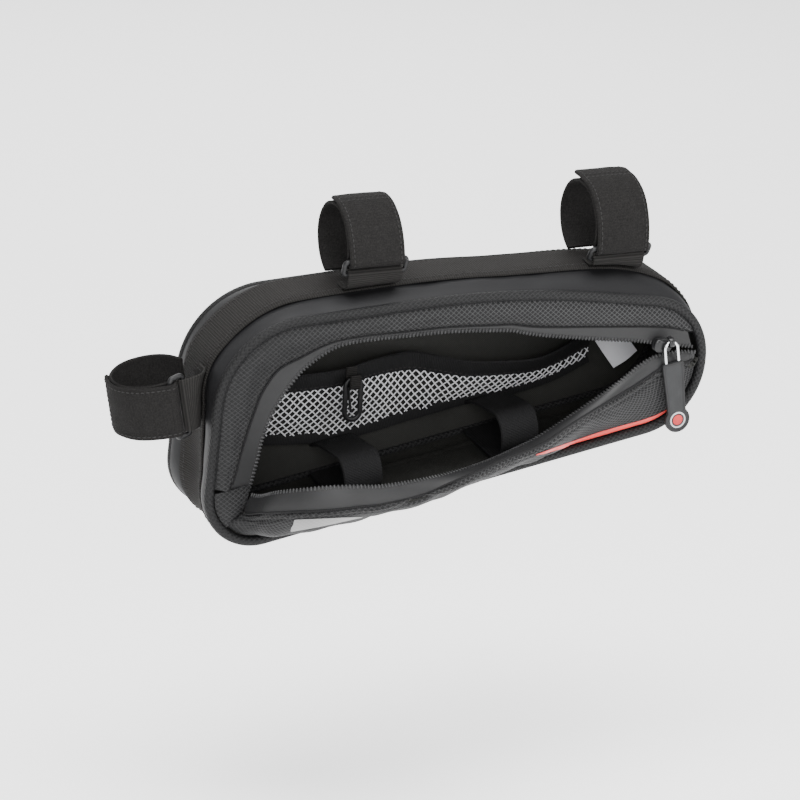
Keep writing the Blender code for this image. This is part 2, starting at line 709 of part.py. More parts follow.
def build_strap(strap, frame, finishes):
    """A hook strap, its rectangular ring and the webbing tab that holds the ring."""
    path, bar_radius = strap_path(strap, frame)
    half = strap.width / 2
    lines = [frame.point(path[:, 0], path[:, 1], np.full(len(path), side)) for side in (-half, half)]
    sheet(f"strap_{strap.name}", np.stack(lines, axis=1), STRAP_THICKNESS, finishes["strap"],
          centred=True)

    centre = polar(bar_radius, strap.ring_angle)
    outwards = polar(1.0, strap.ring_angle)
    upwards = polar(1.0, strap.ring_angle + math.pi / 2)
    ring_half = half + RING_SIDE_PLAY + RING_BAR / 2
    corner = RING_BAR * 0.75
    ring = []
    for quarter in range(4):
        sign_width = (1, -1, -1, 1)[quarter]
        sign_up = (1, 1, -1, -1)[quarter]
        for angle in np.linspace(0, math.pi / 2, 3) + quarter * math.pi / 2:
            width = sign_width * (ring_half - corner) + corner * math.cos(angle)
            climb = sign_up * (RING_SPAN / 2 - corner) + corner * math.sin(angle)
            ring.append(frame.point(*(centre + upwards * climb), width))
    plane = frame.point(*outwards, 0.0) - frame.origin
    tube(f"ring_{strap.name}", ring, plane, RING_BAR / 2, 8, finishes["plastic"])

    low = centre - upwards * RING_SPAN / 2
    turn = RING_BAR / 2 + GAP + TAB_CLOTH / 2
    wrap_angles = strap.ring_angle + math.pi - np.linspace(0, math.pi, 6)
    path = [low - outwards * turn - upwards * RING_BAR]
    path += [low + polar(turn, angle) for angle in wrap_angles]
    leave = path[-1]
    foot_far = WEBBING_WIDTH * 0.24
    foot_near = WEBBING_WIDTH * 0.44
    path = np.array(path)
    widths = np.linspace(-half, half, 7)
    grid = [frame.point(path[:, 0], path[:, 1], np.full(len(path), width)) for width in widths]
    grid = np.stack(grid, axis=1)
    foot_rows = []
    rise = 2 * GAP + TAB_CLOTH / 2
    for share in (0.25, 0.5, 0.75, 1.0):
        row = []
        for width in widths:
            seat = web_height(frame, foot_near, width) + rise
            bend = np.array([foot_near + (leave[0] - foot_near) * 0.95, seat + GAP])
            landing = np.array([foot_near, seat])
            spot = ((1 - share) ** 2 * leave + 2 * share * (1 - share) * bend + share ** 2 * landing)
            row.append(frame.point(spot[0], spot[1], width))
        foot_rows.append(np.stack(row))
    far = [frame.point(foot_far, web_height(frame, foot_far, width) + rise, width) for width in widths]
    grid = np.concatenate([grid, np.stack(foot_rows), np.stack(far)[None]])
    sheet(f"ring_tab_{strap.name}", grid, TAB_CLOTH, finishes["webbing"], centred=True)


def web_height(frame, forward, width):
    """The webbing's face at one depth and width, in a tube's frame."""
    widths, away = frame.webbing(forward)
    return np.interp(width, widths, away)


def pull_frame():
    """The pull's hinge point, its axis direction and the way it hangs."""
    place = zip_line((ZIP_ROWS[17],), "teeth")[0]
    hinge_y = -PANEL_Y - SLIDER_DEPTH - EYE_OPENING / 2
    hinge = np.array([place[0] + SLIDER_LENGTH * 0.3, hinge_y, place[1] + SLIDER_WIDTH * 0.35])
    axis = np.array([math.cos(PULL_LEAN), 0.0, math.sin(PULL_LEAN)])
    down = np.array([math.sin(PULL_LEAN), 0.0, -math.cos(PULL_LEAN)])
    return hinge, axis, down


def build_slider(finishes):
    """The zip's slider: a flat body on the teeth and an eye that the pull's wire goes through."""
    hinge, axis, down = pull_frame()
    outwards = np.array([0.0, -1.0, 0.0])
    teeth = zip_line(ZIP_ROWS[16:19], "teeth")
    way = unit(placed(teeth[2] - teeth[0], 0.0))
    across = np.cross(way, outwards)
    centre = placed(zip_line((ZIP_ROWS[17],), "teeth")[0], -PANEL_Y)
    front = centre + outwards * SLIDER_DEPTH
    inner = centre + outwards * GAP

    outline = []
    for along, side in ((-0.5, -0.34), (-0.38, -0.5), (0.3, -0.5), (0.5, -0.3),
                        (0.5, 0.3), (0.3, 0.5), (-0.38, 0.5), (-0.5, 0.34)):
        outline.append(inner + way * SLIDER_LENGTH * along + across * SLIDER_WIDTH * side)
    body = prism("zip_slider", outline, front - inner, finishes["plastic"])

    half_hole = EYE_OPENING / 2
    half_eye = half_hole + EYE_WALL
    outer_face = [(-half_eye, -half_eye - EYE_WALL), (-half_eye, half_eye * 0.6),
                  (-half_eye * 0.6, half_eye), (half_eye * 0.6, half_eye),
                  (half_eye, half_eye * 0.6), (half_eye, -half_eye - EYE_WALL)]
    hole_face = [(-half_hole, -half_hole), (-half_hole, half_hole), (half_hole, half_hole),
                 (half_hole, -half_hole)]
    start = hinge - axis * EYE_LENGTH / 2
    eye = prism("eye_blank", [start + down * a + outwards * b for a, b in outer_face],
                axis * EYE_LENGTH, finishes["plastic"])
    hole = prism("eye_hole", [start - axis * EYE_LENGTH + down * a + outwards * b for a, b in hole_face],
                 axis * EYE_LENGTH * 3, finishes["plastic"])
    for cutter in (eye, hole):
        cutter.hide_render = True
        cutter.display_type = "WIRE"
    joined = body.modifiers.new("eye", "BOOLEAN")
    joined.operation = "UNION"
    joined.object = eye
    opened = body.modifiers.new("hole", "BOOLEAN")
    opened.operation = "DIFFERENCE"
    opened.object = hole


def build_pull(finishes):
    """The pull: a bright wire loop through the slider's eye and a rubber tab below it."""
    hinge, axis, down = pull_frame()
    outwards = np.array([0.0, -1.0, 0.0])
    bend = LOOP_WIDTH / 2
    arch = hinge + down * bend
    wire = [arch + down * LOOP_LEG - axis * bend, arch + down * LOOP_LEG / 2 - axis * bend]
    for angle in np.linspace(0, math.pi, 9):
        wire.append(arch - axis * bend * math.cos(angle) - down * bend * math.sin(angle))
    wire += [arch + down * LOOP_LEG / 2 + axis * bend, arch + down * LOOP_LEG + axis * bend]
    loop = tube("pull_loop", wire, outwards, WIRE_DIAMETER / 2, 8, finishes["chrome"], closed=False)

    top = arch + down * (LOOP_LEG + GAP)
    end_radius = TAB_END_DIAMETER / 2
    waist = TAB_LENGTH - TAB_END_DIAMETER
    half_profile = [(0.0, TAB_TOP_WIDTH / 2 - EYE_WALL), (EYE_WALL, TAB_TOP_WIDTH / 2),
                    (waist * 0.5, (TAB_TOP_WIDTH + TAB_WAIST_WIDTH) / 4),
                    (waist * 0.88, TAB_WAIST_WIDTH / 2)]
    for angle in np.linspace(math.radians(48), math.radians(180), 8):
        along = TAB_LENGTH - end_radius - end_radius * math.cos(angle)
        half_profile.append((along, end_radius * math.sin(angle)))
    mirrored = [(along, -width) for along, width in reversed(half_profile[:-1])]
    middle = top - outwards * TAB_THICKNESS / 2
    outline = [middle + down * along + axis * width for along, width in half_profile + mirrored]
    tab = prism("pull_tab", outline, outwards * TAB_THICKNESS, finishes["rubber"])

    pivot = bpy.data.objects.new("pull_pivot", None)
    pivot.location = hinge
    bpy.context.scene.collection.objects.link(pivot)
    for piece in (loop, tab):
        piece.data.transform(pivot.matrix_basis.inverted())
        piece.parent = pivot


def pocket_lines():
    """The pocket's floor, binding foot and top edge as points in space."""
    rows = POCKET_ROWS
    back = HALF_SPACING - CLOTH / 2 - GAP
    floor = np.array([OUTLINE.inside(row.along, row.floor) for row in rows])
    top = np.array([OUTLINE.inside(row.along, row.top) for row in rows])
    depth = back - NET_THICKNESS - np.array([row.open for row in rows]) * POCKET_DEPTH
    floor = placed(floor, back - NET_THICKNESS)
    top = placed(top, depth)
    foot = top + unit(floor - top) * BINDING_HEIGHT
    length = np.linalg.norm(np.diff(foot, axis=0), axis=1).sum()
    cuts = strand_steps(NET_COLUMNS, NET_STRAND / length)
    return resample(floor, cuts), resample(foot, cuts), resample(top, cuts)


def resample(line, shares):
    """A line of points read again at these shares of its length."""
    steps = np.concatenate([[0], np.cumsum(np.linalg.norm(np.diff(line, axis=0), axis=1))])
    wanted = np.asarray(shares) * steps[-1]
    return np.stack([np.interp(wanted, steps, line[:, k]) for k in range(3)], axis=1)


def strand_steps(gaps, strand):
    """The edges of the strands over a width of one: gaps meshes with a strand round each."""
    pitch = (1 - strand) / gaps
    starts = np.arange(gaps + 1) * pitch
    return np.stack([starts, starts + strand], axis=1).ravel()


def build_net(floor, foot, finish):
    """The coarse net: a sheet with rows of meshes cut through it.

    Every other row and column of the grid is a strand; a mesh is left out where both are gaps.
    """
    tall = np.linalg.norm(foot - floor, axis=1).mean()
    levels = strand_steps(NET_ROWS, NET_STRAND / tall)
    grid = floor[:, None] + (foot - floor)[:, None] * levels[None, :, None]
    normals = grid_normals(grid)
    count = grid.shape[0] * grid.shape[1]
    points = np.concatenate([grid.reshape(-1, 3), (grid - normals * NET_THICKNESS).reshape(-1, 3)])
    n_rows, n_levels = grid.shape[:2]

    def index(i, j):
        return i * n_levels + j

    def solid(i, j):
        inside = 0 <= i < n_rows - 1 and 0 <= j < n_levels - 1
        return inside and not (i % 2 == 1 and j % 2 == 1)

    faces = []
    for i in range(n_rows - 1):
        for j in range(n_levels - 1):
            if not solid(i, j):
                continue
            ring = (index(i, j), index(i + 1, j), index(i + 1, j + 1), index(i, j + 1))
            faces.append(ring)
            faces.append(tuple(k + count for k in ring))
            for step, (a, b) in (((0, -1), (0, 1)), ((1, 0), (1, 2)), ((0, 1), (2, 3)),
                                 ((-1, 0), (3, 0))):
                if not solid(i + step[0], j + step[1]):
                    faces.append((ring[a], ring[b], ring[b] + count, ring[a] + count))
    add_mesh("mesh_pocket", points, faces, finish, smooth=False)


def build_pocket(finishes):
    """The net pocket on the rear panel and the elastic binding along its top."""
    floor, foot, top = pocket_lines()
    drop = unit(floor - foot)
    build_net(floor, foot + drop * 2 * GAP, finishes["net"])
    band = between(top, foot, (0.0, 1.0))
    sheet("pocket_binding", band, BINDING_THICKNESS, finishes["webbing"], centred=True)


def build_pump_loops(finishes):
    """Two elastic bands sewn to the rear panel that come forward round the pump's space."""
    back = HALF_SPACING - CLOTH / 2 - GAP - PUMP_LOOP_THICKNESS
    for name, along in PUMP_LOOPS:
        spot = OUTLINE.inside(along, 0.0)
        x = spot[0]
        slope = (OUTLINE.points[4] - OUTLINE.points[0])
        slope = unit(slope)
        floor = spot[1] + (GUSSET_INSET + CLOTH + GAP + PUMP_LOOP_THICKNESS) / slope[0]
        radius = PUMP_LOOP_RADIUS
        centre_z = floor + radius
        path = [(back, centre_z + radius * 0.35), (back * 0.5, centre_z + radius * 0.72)]
        for angle in np.linspace(math.radians(75), math.radians(270), 12):
            path.append((-PUMP_LOOP_FORWARD + radius * math.cos(angle),
                         centre_z + radius * math.sin(angle)))
        path += [(back * 0.3, floor), (back, floor)]
        path = np.array(path)
        lines = []
        for side in (-0.5, 0.5):
            shift = side * PUMP_LOOP_WIDTH
            spots = np.stack([np.full(len(path), x + shift * slope[0]), path[:, 0],
                              path[:, 1] + shift * slope[1]], axis=1)
            lines.append(spots)
        sheet(f"pump_loop_{name}", np.stack(lines, axis=1), PUMP_LOOP_THICKNESS,
              finishes["elastic"], centred=True)


def build_hook(finishes):
    """The key hook: a slim plastic ring on a short tape sewn to the pocket's binding."""
    floor, foot, top = pocket_lines()
    x = OUTLINE.inside(HOOK_ALONG, 0.5)[0]
    half = HOOK_TAPE_WIDTH / 2
    edge = np.array([np.interp(x, top[:, 0], top[:, k]) for k in range(3)])
    nearest = np.interp([x - 2 * half, x, x + 2 * half], top[:, 0], top[:, 1]).min()
    y = nearest - BINDING_THICKNESS / 2 - GAP
    tape = []
    for drop, fold in ((-0.2, 0.0), (0.35, 0.0), (0.8, 0.14), (1.0, 0.46), (0.86, 0.93),
                       (0.5, 1.0), (0.1, 1.0)):
        tape.append((y - TAPE_THICKNESS / 2 - fold * HOOK_TAPE_FOLD, edge[2] - drop * HOOK_TAPE_DROP))
    tape = np.array(tape)
    lines = [np.stack([np.full(len(tape), x + side), tape[:, 0], tape[:, 1]], axis=1)
             for side in (-half, half)]
    sheet("hook_tape", np.stack(lines, axis=1), TAPE_THICKNESS, finishes["webbing"], centred=True)

    bend = (HOOK_WIDTH - HOOK_WIRE) / 2
    straight = HOOK_LENGTH - HOOK_WIRE - 2 * bend
    ring_top = edge[2] - HOOK_TAPE_DROP * 0.42
    ring_y = y - TAPE_THICKNESS / 2 - HOOK_TAPE_FOLD / 2
    path = []
    for angle in np.linspace(0, math.pi, 7):
        path.append((x + bend * math.cos(angle), ring_y, ring_top - bend + bend * math.sin(angle)))
    for angle in np.linspace(math.pi, 2 * math.pi, 7):
        path.append((x + bend * math.cos(angle), ring_y,
                     ring_top - bend - straight + bend * math.sin(angle)))
    tube("key_hook", path, (0, 1, 0), HOOK_WIRE / 2, 6, finishes["plastic"])


def build_label(finishes):
    """The plain label inside, askew on the rear panel near its front end."""
    spot = OUTLINE.inside(LABEL_ALONG, LABEL_UP)
    back = rear_panel_y(spot) - GAP
    down = np.array([math.sin(LABEL_LEAN), 0.0, -math.cos(LABEL_LEAN)])
    across = np.array([math.cos(LABEL_LEAN), 0.0, math.sin(LABEL_LEAN)])
    start = placed(spot, back - LABEL_THICKNESS) - down * LABEL_HEIGHT
    rows = []
    for share, curl in ((0.0, 0.0), (0.35, 0.18), (0.7, 0.54), (1.0, 1.0)):
        row = [start + across * LABEL_WIDTH * side + down * LABEL_HEIGHT * share
               - np.array([0.0, curl * LABEL_CURL, 0.0]) for side in (-0.5, 0.0, 0.5)]
        rows.append(np.stack(row))
    sheet("care_label", np.stack(rows), LABEL_THICKNESS, finishes["label"], side=-1.0)


def main():
    """Clear the scene and build the bag."""
    for old in list(bpy.data.objects):
        bpy.data.objects.remove(old, do_unlink=True)
    finishes = {
        "ripstop": material("ripstop", CLOTH_BLACK, 0.62),
        "coated": material("coated_cloth", COATED_BLACK, 0.42),
        "webbing": material("ribbed_webbing", WEBBING_GREY, 0.80),
        "strap": material("hook_strap", WEBBING_GREY, 0.85),
        "tape": material("zip_tape", TAPE_GREY, 0.55),
        "plastic": material("black_plastic", PLASTIC_BLACK, 0.40),
        "chrome": material("bright_wire", CHROME, 0.15, metallic=1.0),
        "rubber": material("grey_rubber", RUBBER_GREY, 0.60),
        "net": material("white_net", NET_WHITE, 0.70),
        "elastic": material("black_elastic", COATED_BLACK, 0.85),
        "label": material("white_label", LABEL_WHITE, 0.60),
    }
    build_case(finishes)
    build_fixed_front(finishes)
    build_flap(finishes)
    frames = strap_frames()
    for strap in STRAPS:
        build_strap(strap, frames[strap.name], finishes)
    build_slider(finishes)
    build_pull(finishes)
    build_pocket(finishes)
    build_pump_loops(finishes)
    build_hook(finishes)
    build_label(finishes)


main()
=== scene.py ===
"""Looks of a bicycle frame bag, zipped open: cloth, webbing, zip, straps, net pocket and lining.

Lengths are in metres in the frame's own axes: +X along the top tube to the front, +Z up, and the
zip on the -Y side. A place on the case's outline is a number: 0 is the rear low corner, 1 the
rear top, 2 the crest, 3 the front top and 4 the front low, with shares of the way between.
"""

from __future__ import annotations

import sys
import json
import logging
import math
from dataclasses import dataclass, field
from enum import Enum
from typing import Callable, Iterable, Sequence

import bmesh
import bpy
import numpy as np
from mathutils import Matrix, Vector


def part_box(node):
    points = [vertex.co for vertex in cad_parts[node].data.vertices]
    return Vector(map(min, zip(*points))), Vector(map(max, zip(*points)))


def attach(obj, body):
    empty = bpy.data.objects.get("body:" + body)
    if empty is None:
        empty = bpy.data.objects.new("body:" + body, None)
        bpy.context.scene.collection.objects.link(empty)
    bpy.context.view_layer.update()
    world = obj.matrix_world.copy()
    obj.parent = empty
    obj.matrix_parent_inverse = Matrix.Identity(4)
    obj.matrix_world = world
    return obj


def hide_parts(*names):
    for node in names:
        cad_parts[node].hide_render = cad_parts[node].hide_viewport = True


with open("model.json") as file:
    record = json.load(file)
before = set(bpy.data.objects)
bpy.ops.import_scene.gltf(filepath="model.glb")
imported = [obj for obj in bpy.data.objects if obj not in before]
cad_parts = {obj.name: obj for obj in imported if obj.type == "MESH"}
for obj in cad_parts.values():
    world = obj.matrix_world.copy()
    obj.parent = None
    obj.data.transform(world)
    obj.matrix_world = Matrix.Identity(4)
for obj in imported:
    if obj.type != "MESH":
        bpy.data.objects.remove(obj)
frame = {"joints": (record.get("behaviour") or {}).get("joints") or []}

Array = np.ndarray
LOG = logging.getLogger("frame_bag")

BAG = "bag"
PULLER = "puller"
OUTWARDS = np.array([0.0, -1.0, 0.0])
UPWARDS = np.array([0.0, 0.0, 1.0])


def unit(vectors: Array) -> Array:
    """The same directions with length one."""
    vectors = np.asarray(vectors, dtype=float)
    return vectors / np.maximum(np.linalg.norm(vectors, axis=-1, keepdims=True), 1e-12)


def smoothstep(low: float, high: float, values: Array) -> Array:
    """0 below low and 1 above high, with the cubic 3t^2 - 2t^3 between."""
    t = np.clip((np.asarray(values, dtype=float) - low) / (high - low), 0.0, 1.0)
    return t * t * (3 - 2 * t)


def bell(values: Array, middle: float, width: float) -> Array:
    """A bump of height 1 at middle: exp(-((x - middle) / width)^2)."""
    return np.exp(-(((np.asarray(values, dtype=float) - middle) / width) ** 2))


def through(table: Array, shares: Array) -> Array:
    """Reads a table of rows at these shares of its length, on a Catmull-Rom curve.

    Between rows p1 and p2 the curve is half of 2 p1 + (p2 - p0) t
    + (2 p0 - 5 p1 + 4 p2 - p3) t^2 + (3 p1 - p0 - 3 p2 + p3) t^3.

    Args:
        table: The rows, one value or point in each.
        shares: Where to read it, from 0 to 1.

    Returns:
        One row for each share.
    """
    table = np.asarray(table, dtype=float)
    last = len(table) - 1
    way = np.clip(np.asarray(shares, dtype=float), 0, 1) * last
    start = np.minimum(way.astype(int), last - 1)
    t = (way - start).reshape((-1,) + (1,) * (table.ndim - 1))
    p0, p1, p2, p3 = (table[np.clip(start + k, 0, last)] for k in (-1, 0, 1, 2))
    return 0.5 * (2 * p1 + (p2 - p0) * t + (2 * p0 - 5 * p1 + 4 * p2 - p3) * t ** 2
                  + (3 * p1 - p0 - 3 * p2 + p3) * t ** 3)


def lengths_along(line: Array) -> Array:
    """The length from the line's start to each of its points."""
    return np.concatenate([[0.0], np.cumsum(np.linalg.norm(np.diff(line, axis=0), axis=1))])


def read_rows(wanted: Array, steps: Array, rows: Array) -> Array:
    """Rows of numbers that stand at steps, read at the wanted places between them."""
    return np.stack([np.interp(wanted, steps, column) for column in rows.T], axis=-1)


def at_lengths(line: Array, lengths: Array) -> Array:
    """Points of a line at these lengths from its start."""
    return read_rows(lengths, lengths_along(line), line)


def evenly(line: Array, count: int) -> Array:
    """A line read again at this many even steps of its length."""
    return at_lengths(line, np.linspace(0, lengths_along(line)[-1], count))


def ripples(u: Array, v: Array, wavelength: float, seed: int, count: int = 7) -> Array:
    """Soft uneven waves between about -1 and 1: a mean of sines in seeded directions.

    Args:
        u: First coordinate in metres.
        v: Second coordinate in metres.
        wavelength: The middle wavelength in metres; each wave is 0.6 to 1.6 times as long.
        seed: Picks the directions and phases.
        count: How many waves are added.

    Returns:
        The height of the waves at each point.
    """
    random = np.random.default_rng(seed)
    total = np.zeros(np.broadcast(u, v).shape)
    for _ in range(count):
        heading = random.uniform(0, math.tau)
        size = wavelength * random.uniform(0.6, 1.6)
        phase = random.uniform(0, math.tau)
        total += np.sin((u * math.cos(heading) + v * math.sin(heading)) * math.tau / size + phase)
    return total / math.sqrt(count) / 1.4


class Signal:
    """A shader socket that can be used in Python arithmetic."""

    def __init__(self, board: Board, socket: bpy.types.NodeSocket) -> None:
        """Wraps a socket of the board's node tree."""
        self.board = board
        self.socket = socket

    def _math(self, operation: str, *values: Signal | float) -> Signal:
        """Adds one Math node and returns its result."""
        inputs = dict(enumerate(values))
        return self.board.node("ShaderNodeMath", {"operation": operation}, inputs)

    def __add__(self, other: Signal | float) -> Signal:
        """self + other."""
        return self._math("ADD", self, other)

    def __radd__(self, other: float) -> Signal:
        """other + self."""
        return self._math("ADD", other, self)

    def __sub__(self, other: Signal | float) -> Signal:
        """self - other."""
        return self._math("SUBTRACT", self, other)

    def __mul__(self, other: Signal | float) -> Signal:
        """self * other."""
        return self._math("MULTIPLY", self, other)

    def __pow__(self, other: float) -> Signal:
        """self to the power other."""
        return self._math("POWER", self, other)

    def __abs__(self) -> Signal:
        """The size of self without its sign."""
        return self._math("ABSOLUTE", self)

    def largest(self, other: Signal | float) -> Signal:
        """The larger of self and other."""
        return self._math("MAXIMUM", self, other)

    def wave(self, length: float) -> Signal:
        """A sine between 0 and 1 that repeats every length."""
        return self._math("SINE", self * (math.tau / length)) * 0.5 + 0.5

    def from_line(self) -> Signal:
        """How far self is from the nearest whole number, from 0 to 0.5."""
        return abs(self._math("FRACT", self + 0.5) - 0.5)

    def step(self, low: float, high: float) -> Signal:
        """0 up to low and 1 from high on, smooth between; low may be the larger."""
        inputs = {"Value": self, "From Min": min(low, high), "From Max": max(low, high),
                  "To Min": float(low > high), "To Max": float(low < high)}
        return self.board.node("ShaderNodeMapRange", {"interpolation_type": "SMOOTHSTEP"}, inputs)


class Board:
    """One material: its node tree, its Principled shader and the maths that feeds it."""

    def __init__(self, name: str, **constants: float | Sequence[float]) -> None:
        """Starts a material whose shader has these constant values."""
        self.material = bpy.data.materials.new(name)
        self.material.use_nodes = True
        self.tree = self.material.node_tree
        self.shader = self.tree.nodes["Principled BSDF"]
        for name, value in constants.items():
            self.input_of(name).default_value = value

    def input_of(self, name: str) -> bpy.types.NodeSocket:
        """The shader's socket whose name has capitals and spaces: base_color is Base Color."""
        return self.shader.inputs[name.replace("_", " ").title().replace("Ior", "IOR")]

    def node(self, kind: str, settings: dict | None = None, inputs: dict | None = None,
             output: int | str = 0) -> Signal:
        """Adds a node: its settings first, then the values or links of its sockets.

        Args:
            kind: Blender's node type.
            settings: Attributes of the node.
            inputs: Socket names or numbers with numbers, colours or signals.
            output: The socket that is read from it.

        Returns:
            The output as a signal.
        """
        made = self.tree.nodes.new(kind)
        for name, value in (settings or {}).items():
            setattr(made, name, value)
        for name, value in (inputs or {}).items():
            if isinstance(value, Signal):
                self.tree.links.new(value.socket, made.inputs[name])
            else:
                made.inputs[name].default_value = value
        return Signal(self, made.outputs[output])

    def feed(self, **signals: Signal) -> None:
        """Links signals to the shader's sockets."""
        for name, signal in signals.items():
            self.tree.links.new(signal.socket, self.input_of(name))

    def weave_coordinates(self) -> tuple[Signal, Signal]:
        """The piece's own UV map, in metres along and across the cloth."""
        uv = self.node("ShaderNodeUVMap", {"uv_map": "weave"})
        return (self.node("ShaderNodeSeparateXYZ", None, {0: uv}, 0),
                self.node("ShaderNodeSeparateXYZ", None, {0: uv}, 1))

    def diamonds(self, along: float, across: float) -> tuple[Signal, Signal, Signal]:
        """Two families of slanted lines that cross, and a pillow between them.

        Args:
            along: A cell's length along u, in metres.
            across: A cell's length along v.

        Returns:
            How far each place is from a rising line, from a falling line, and the pillow's height.
        """
        u, v = self.weave_coordinates()
        rising = (u * (1 / along) + v * (1 / across)).from_line()
        falling = (u * (1 / along) - v * (1 / across)).from_line()
        return rising, falling, (rising * falling * 4) ** 0.6

    def places(self) -> Signal:
        """Object coordinates in metres."""
        return self.node("ShaderNodeTexCoord", None, None, "Object")

    def noise(self, size: float, detail: float = 2.0, rough: float = 0.5) -> Signal:
        """Noise from 0 to 1 whose features are about this size, in metres."""
        return self.node("ShaderNodeTexNoise", None,
                         {"Vector": self.places(), "Scale": 1 / size, "Detail": detail,
                          "Roughness": rough}, "Fac")

    def colour(self, share: Signal, low: Sequence[float], high: Sequence[float]) -> Signal:
        """A colour between low and high."""
        return self.node("ShaderNodeMix", {"data_type": "RGBA"},
                         {0: share, 6: (*low, 1.0), 7: (*high, 1.0)}, 2)

    def bump(self, height: Signal, depth: float, strength: float = 1.0,
             over: Signal | None = None) -> Signal:
        """A normal bent by a height from 0 to 1 that stands for this depth, in metres."""
        inputs = {"Height": height, "Distance": depth, "Strength": strength}
        if over is not None:
            inputs["Normal"] = over
        return self.node("ShaderNodeBump", None, inputs)


Colour = tuple[float, float, float]

# One diamond of the ripstop's grid, along and across the cloth
CLOTH_CELL_ALONG = 0.0029
CLOTH_CELL_ACROSS = 0.0024


@dataclass(frozen=True)
class Ripstop:
    """Charcoal cloth with a raised diamond grid and a fine plain weave."""
    name: str = "ripstop"
    ground: Colour = (0.0026, 0.0026, 0.0029)
    line: Colour = (0.040, 0.040, 0.041)
    cell_along: float = CLOTH_CELL_ALONG
    cell_across: float = CLOTH_CELL_ACROSS
    thread: float = 0.00045
    relief: float = 0.00016
    # The span of object X over which the grid lines' painted highlight rises from none to full
    line_highlight_from: float = -0.15
    line_highlight_to: float = 0.06

    def make(self) -> bpy.types.Material:
        """Two families of slanted lines cross; between them each cell is a small pillow, and the lines carry
        a painted highlight that grows towards the front.
        """
        board = Board(self.name, specular_ior_level=0.22)
        u, v = board.weave_coordinates()
        rising, falling, pillow = board.diamonds(self.cell_along, self.cell_across)
        lines = rising.step(0.15, 0.05).largest(falling.step(0.15, 0.05))
        weave = u.wave(self.thread) * v.wave(self.thread)
        patchy = board.noise(0.02, 3.0)
        # Painted highlight: the grid lines are painted lighter from the rear towards the front along object
        # X, as where the light catches them.
        along = self.line_highlight_from, self.line_highlight_to
        line_highlight = board.node("ShaderNodeSeparateXYZ", None, {0: board.places()}, 0).step(*along)
        share = lines * (0.16 + line_highlight * 0.54 + patchy * 0.4) + weave * 0.08 + patchy * 0.10
        height = board.bump(pillow, self.relief * 2)
        normal = board.bump(weave, self.thread * 0.2, 0.6, height)
        board.feed(base_color=board.colour(share, self.ground, self.line),
                   roughness=0.50 + patchy * 0.16 + weave * 0.08, normal=normal)
        return board.material


@dataclass(frozen=True)
class CoatedCloth:
    """Black cloth with a soft coated sheen, a little uneven."""
    name: str = "coated_cloth"
    ground: Colour = (0.0055, 0.0055, 0.0060)
    worn: Colour = (0.0125, 0.0125, 0.0135)

    def make(self) -> bpy.types.Material:
        """Fine leathery noise over slow waves in the sheen."""
        board = Board(self.name, specular_ior_level=0.20)
        grain = board.noise(0.0011, 4.0, 0.6)
        slow = board.noise(0.03, 2.0)
        normal = board.bump(grain, 0.00006, 0.7, board.bump(slow, 0.0012, 0.35))
        board.feed(base_color=board.colour(grain * 0.45 + slow * 0.4, self.ground, self.worn),
                   roughness=0.50 + slow * 0.10 + grain * 0.06, normal=normal)
        return board.material


@dataclass(frozen=True)
class Ribbed:
    """Webbing or elastic with ribs across its length and a selvedge along its edges."""
    name: str
    ground: Colour = (0.0050, 0.0047, 0.0045)
    crest: Colour = (0.0180, 0.0168, 0.0158)
    pitch: float = 0.0013
    thread: float = 0.0005
    relief: float = 0.00022
    rough: float = 0.78

    def make(self) -> bpy.types.Material:
        """Ribs are a sine along u; threads beside them are a finer sine along v."""
        board = Board(self.name, specular_ior_level=0.15)
        u, v = board.weave_coordinates()
        rib = u.wave(self.pitch) ** 0.7
        thread = v.wave(self.thread)
        fuzz = board.noise(0.0006, 3.0, 0.6)
        dust = board.noise(0.012, 2.0)
        share = rib * 0.55 + thread * rib * 0.2 + fuzz * 0.22 + dust * 0.12
        normal = board.bump(thread * 0.3 + rib, self.relief, 1.0,
                            board.bump(fuzz, 0.00012, 0.6))
        board.feed(base_color=board.colour(share, self.ground, self.crest),
                   roughness=self.rough + fuzz * 0.12, normal=normal)
        return board.material


@dataclass(frozen=True)
class HookStrap:
    """Hook and loop strap: a felted pile over a close weave."""
    name: str = "hook_strap"
    ground: Colour = (0.0040, 0.0038, 0.0037)
    tuft: Colour = (0.0210, 0.0200, 0.0195)

    def make(self) -> bpy.types.Material:
        """Two sizes of noise make the pile; faint ribs show through it."""
        board = Board(self.name, specular_ior_level=0.10)
        u, v = board.weave_coordinates()
        pile = board.noise(0.0007, 5.0, 0.7)
        clumps = board.noise(0.004, 3.0, 0.6)
        rib = u.wave(0.0016) * v.wave(0.0009)
        share = pile.step(0.35, 0.72) * 0.6 + clumps * 0.25 + rib * 0.12
        normal = board.bump(pile, 0.00035, 0.9, board.bump(rib, 0.0001, 0.6))
        board.feed(base_color=board.colour(share, self.ground, self.tuft),
                   roughness=0.80 + pile * 0.12, normal=normal)
        return board.material


@dataclass(frozen=True)
class SmoothTape:
    """The zip's grey tape: smooth, with a very fine herringbone."""
    name: str = "zip_tape"
    ground: Colour = (0.0055, 0.0055, 0.0058)
    raised: Colour = (0.0140, 0.0140, 0.0146)

    def make(self) -> bpy.types.Material:
        """The herringbone's slant turns with each stripe: u plus the distance to a stripe line."""
        board = Board(self.name, specular_ior_level=0.35)
        u, v = board.weave_coordinates()
        slant = (u * (1 / 0.0007) + (v * (1 / 0.0014)).from_line() * 2.0).from_line()
        soft = board.noise(0.015, 2.0)
        share = slant * 0.8 + soft * 0.45
        board.feed(base_color=board.colour(share, self.ground, self.raised),
                   roughness=0.44 + soft * 0.14, normal=board.bump(slant, 0.00008, 0.7))
        return board.material


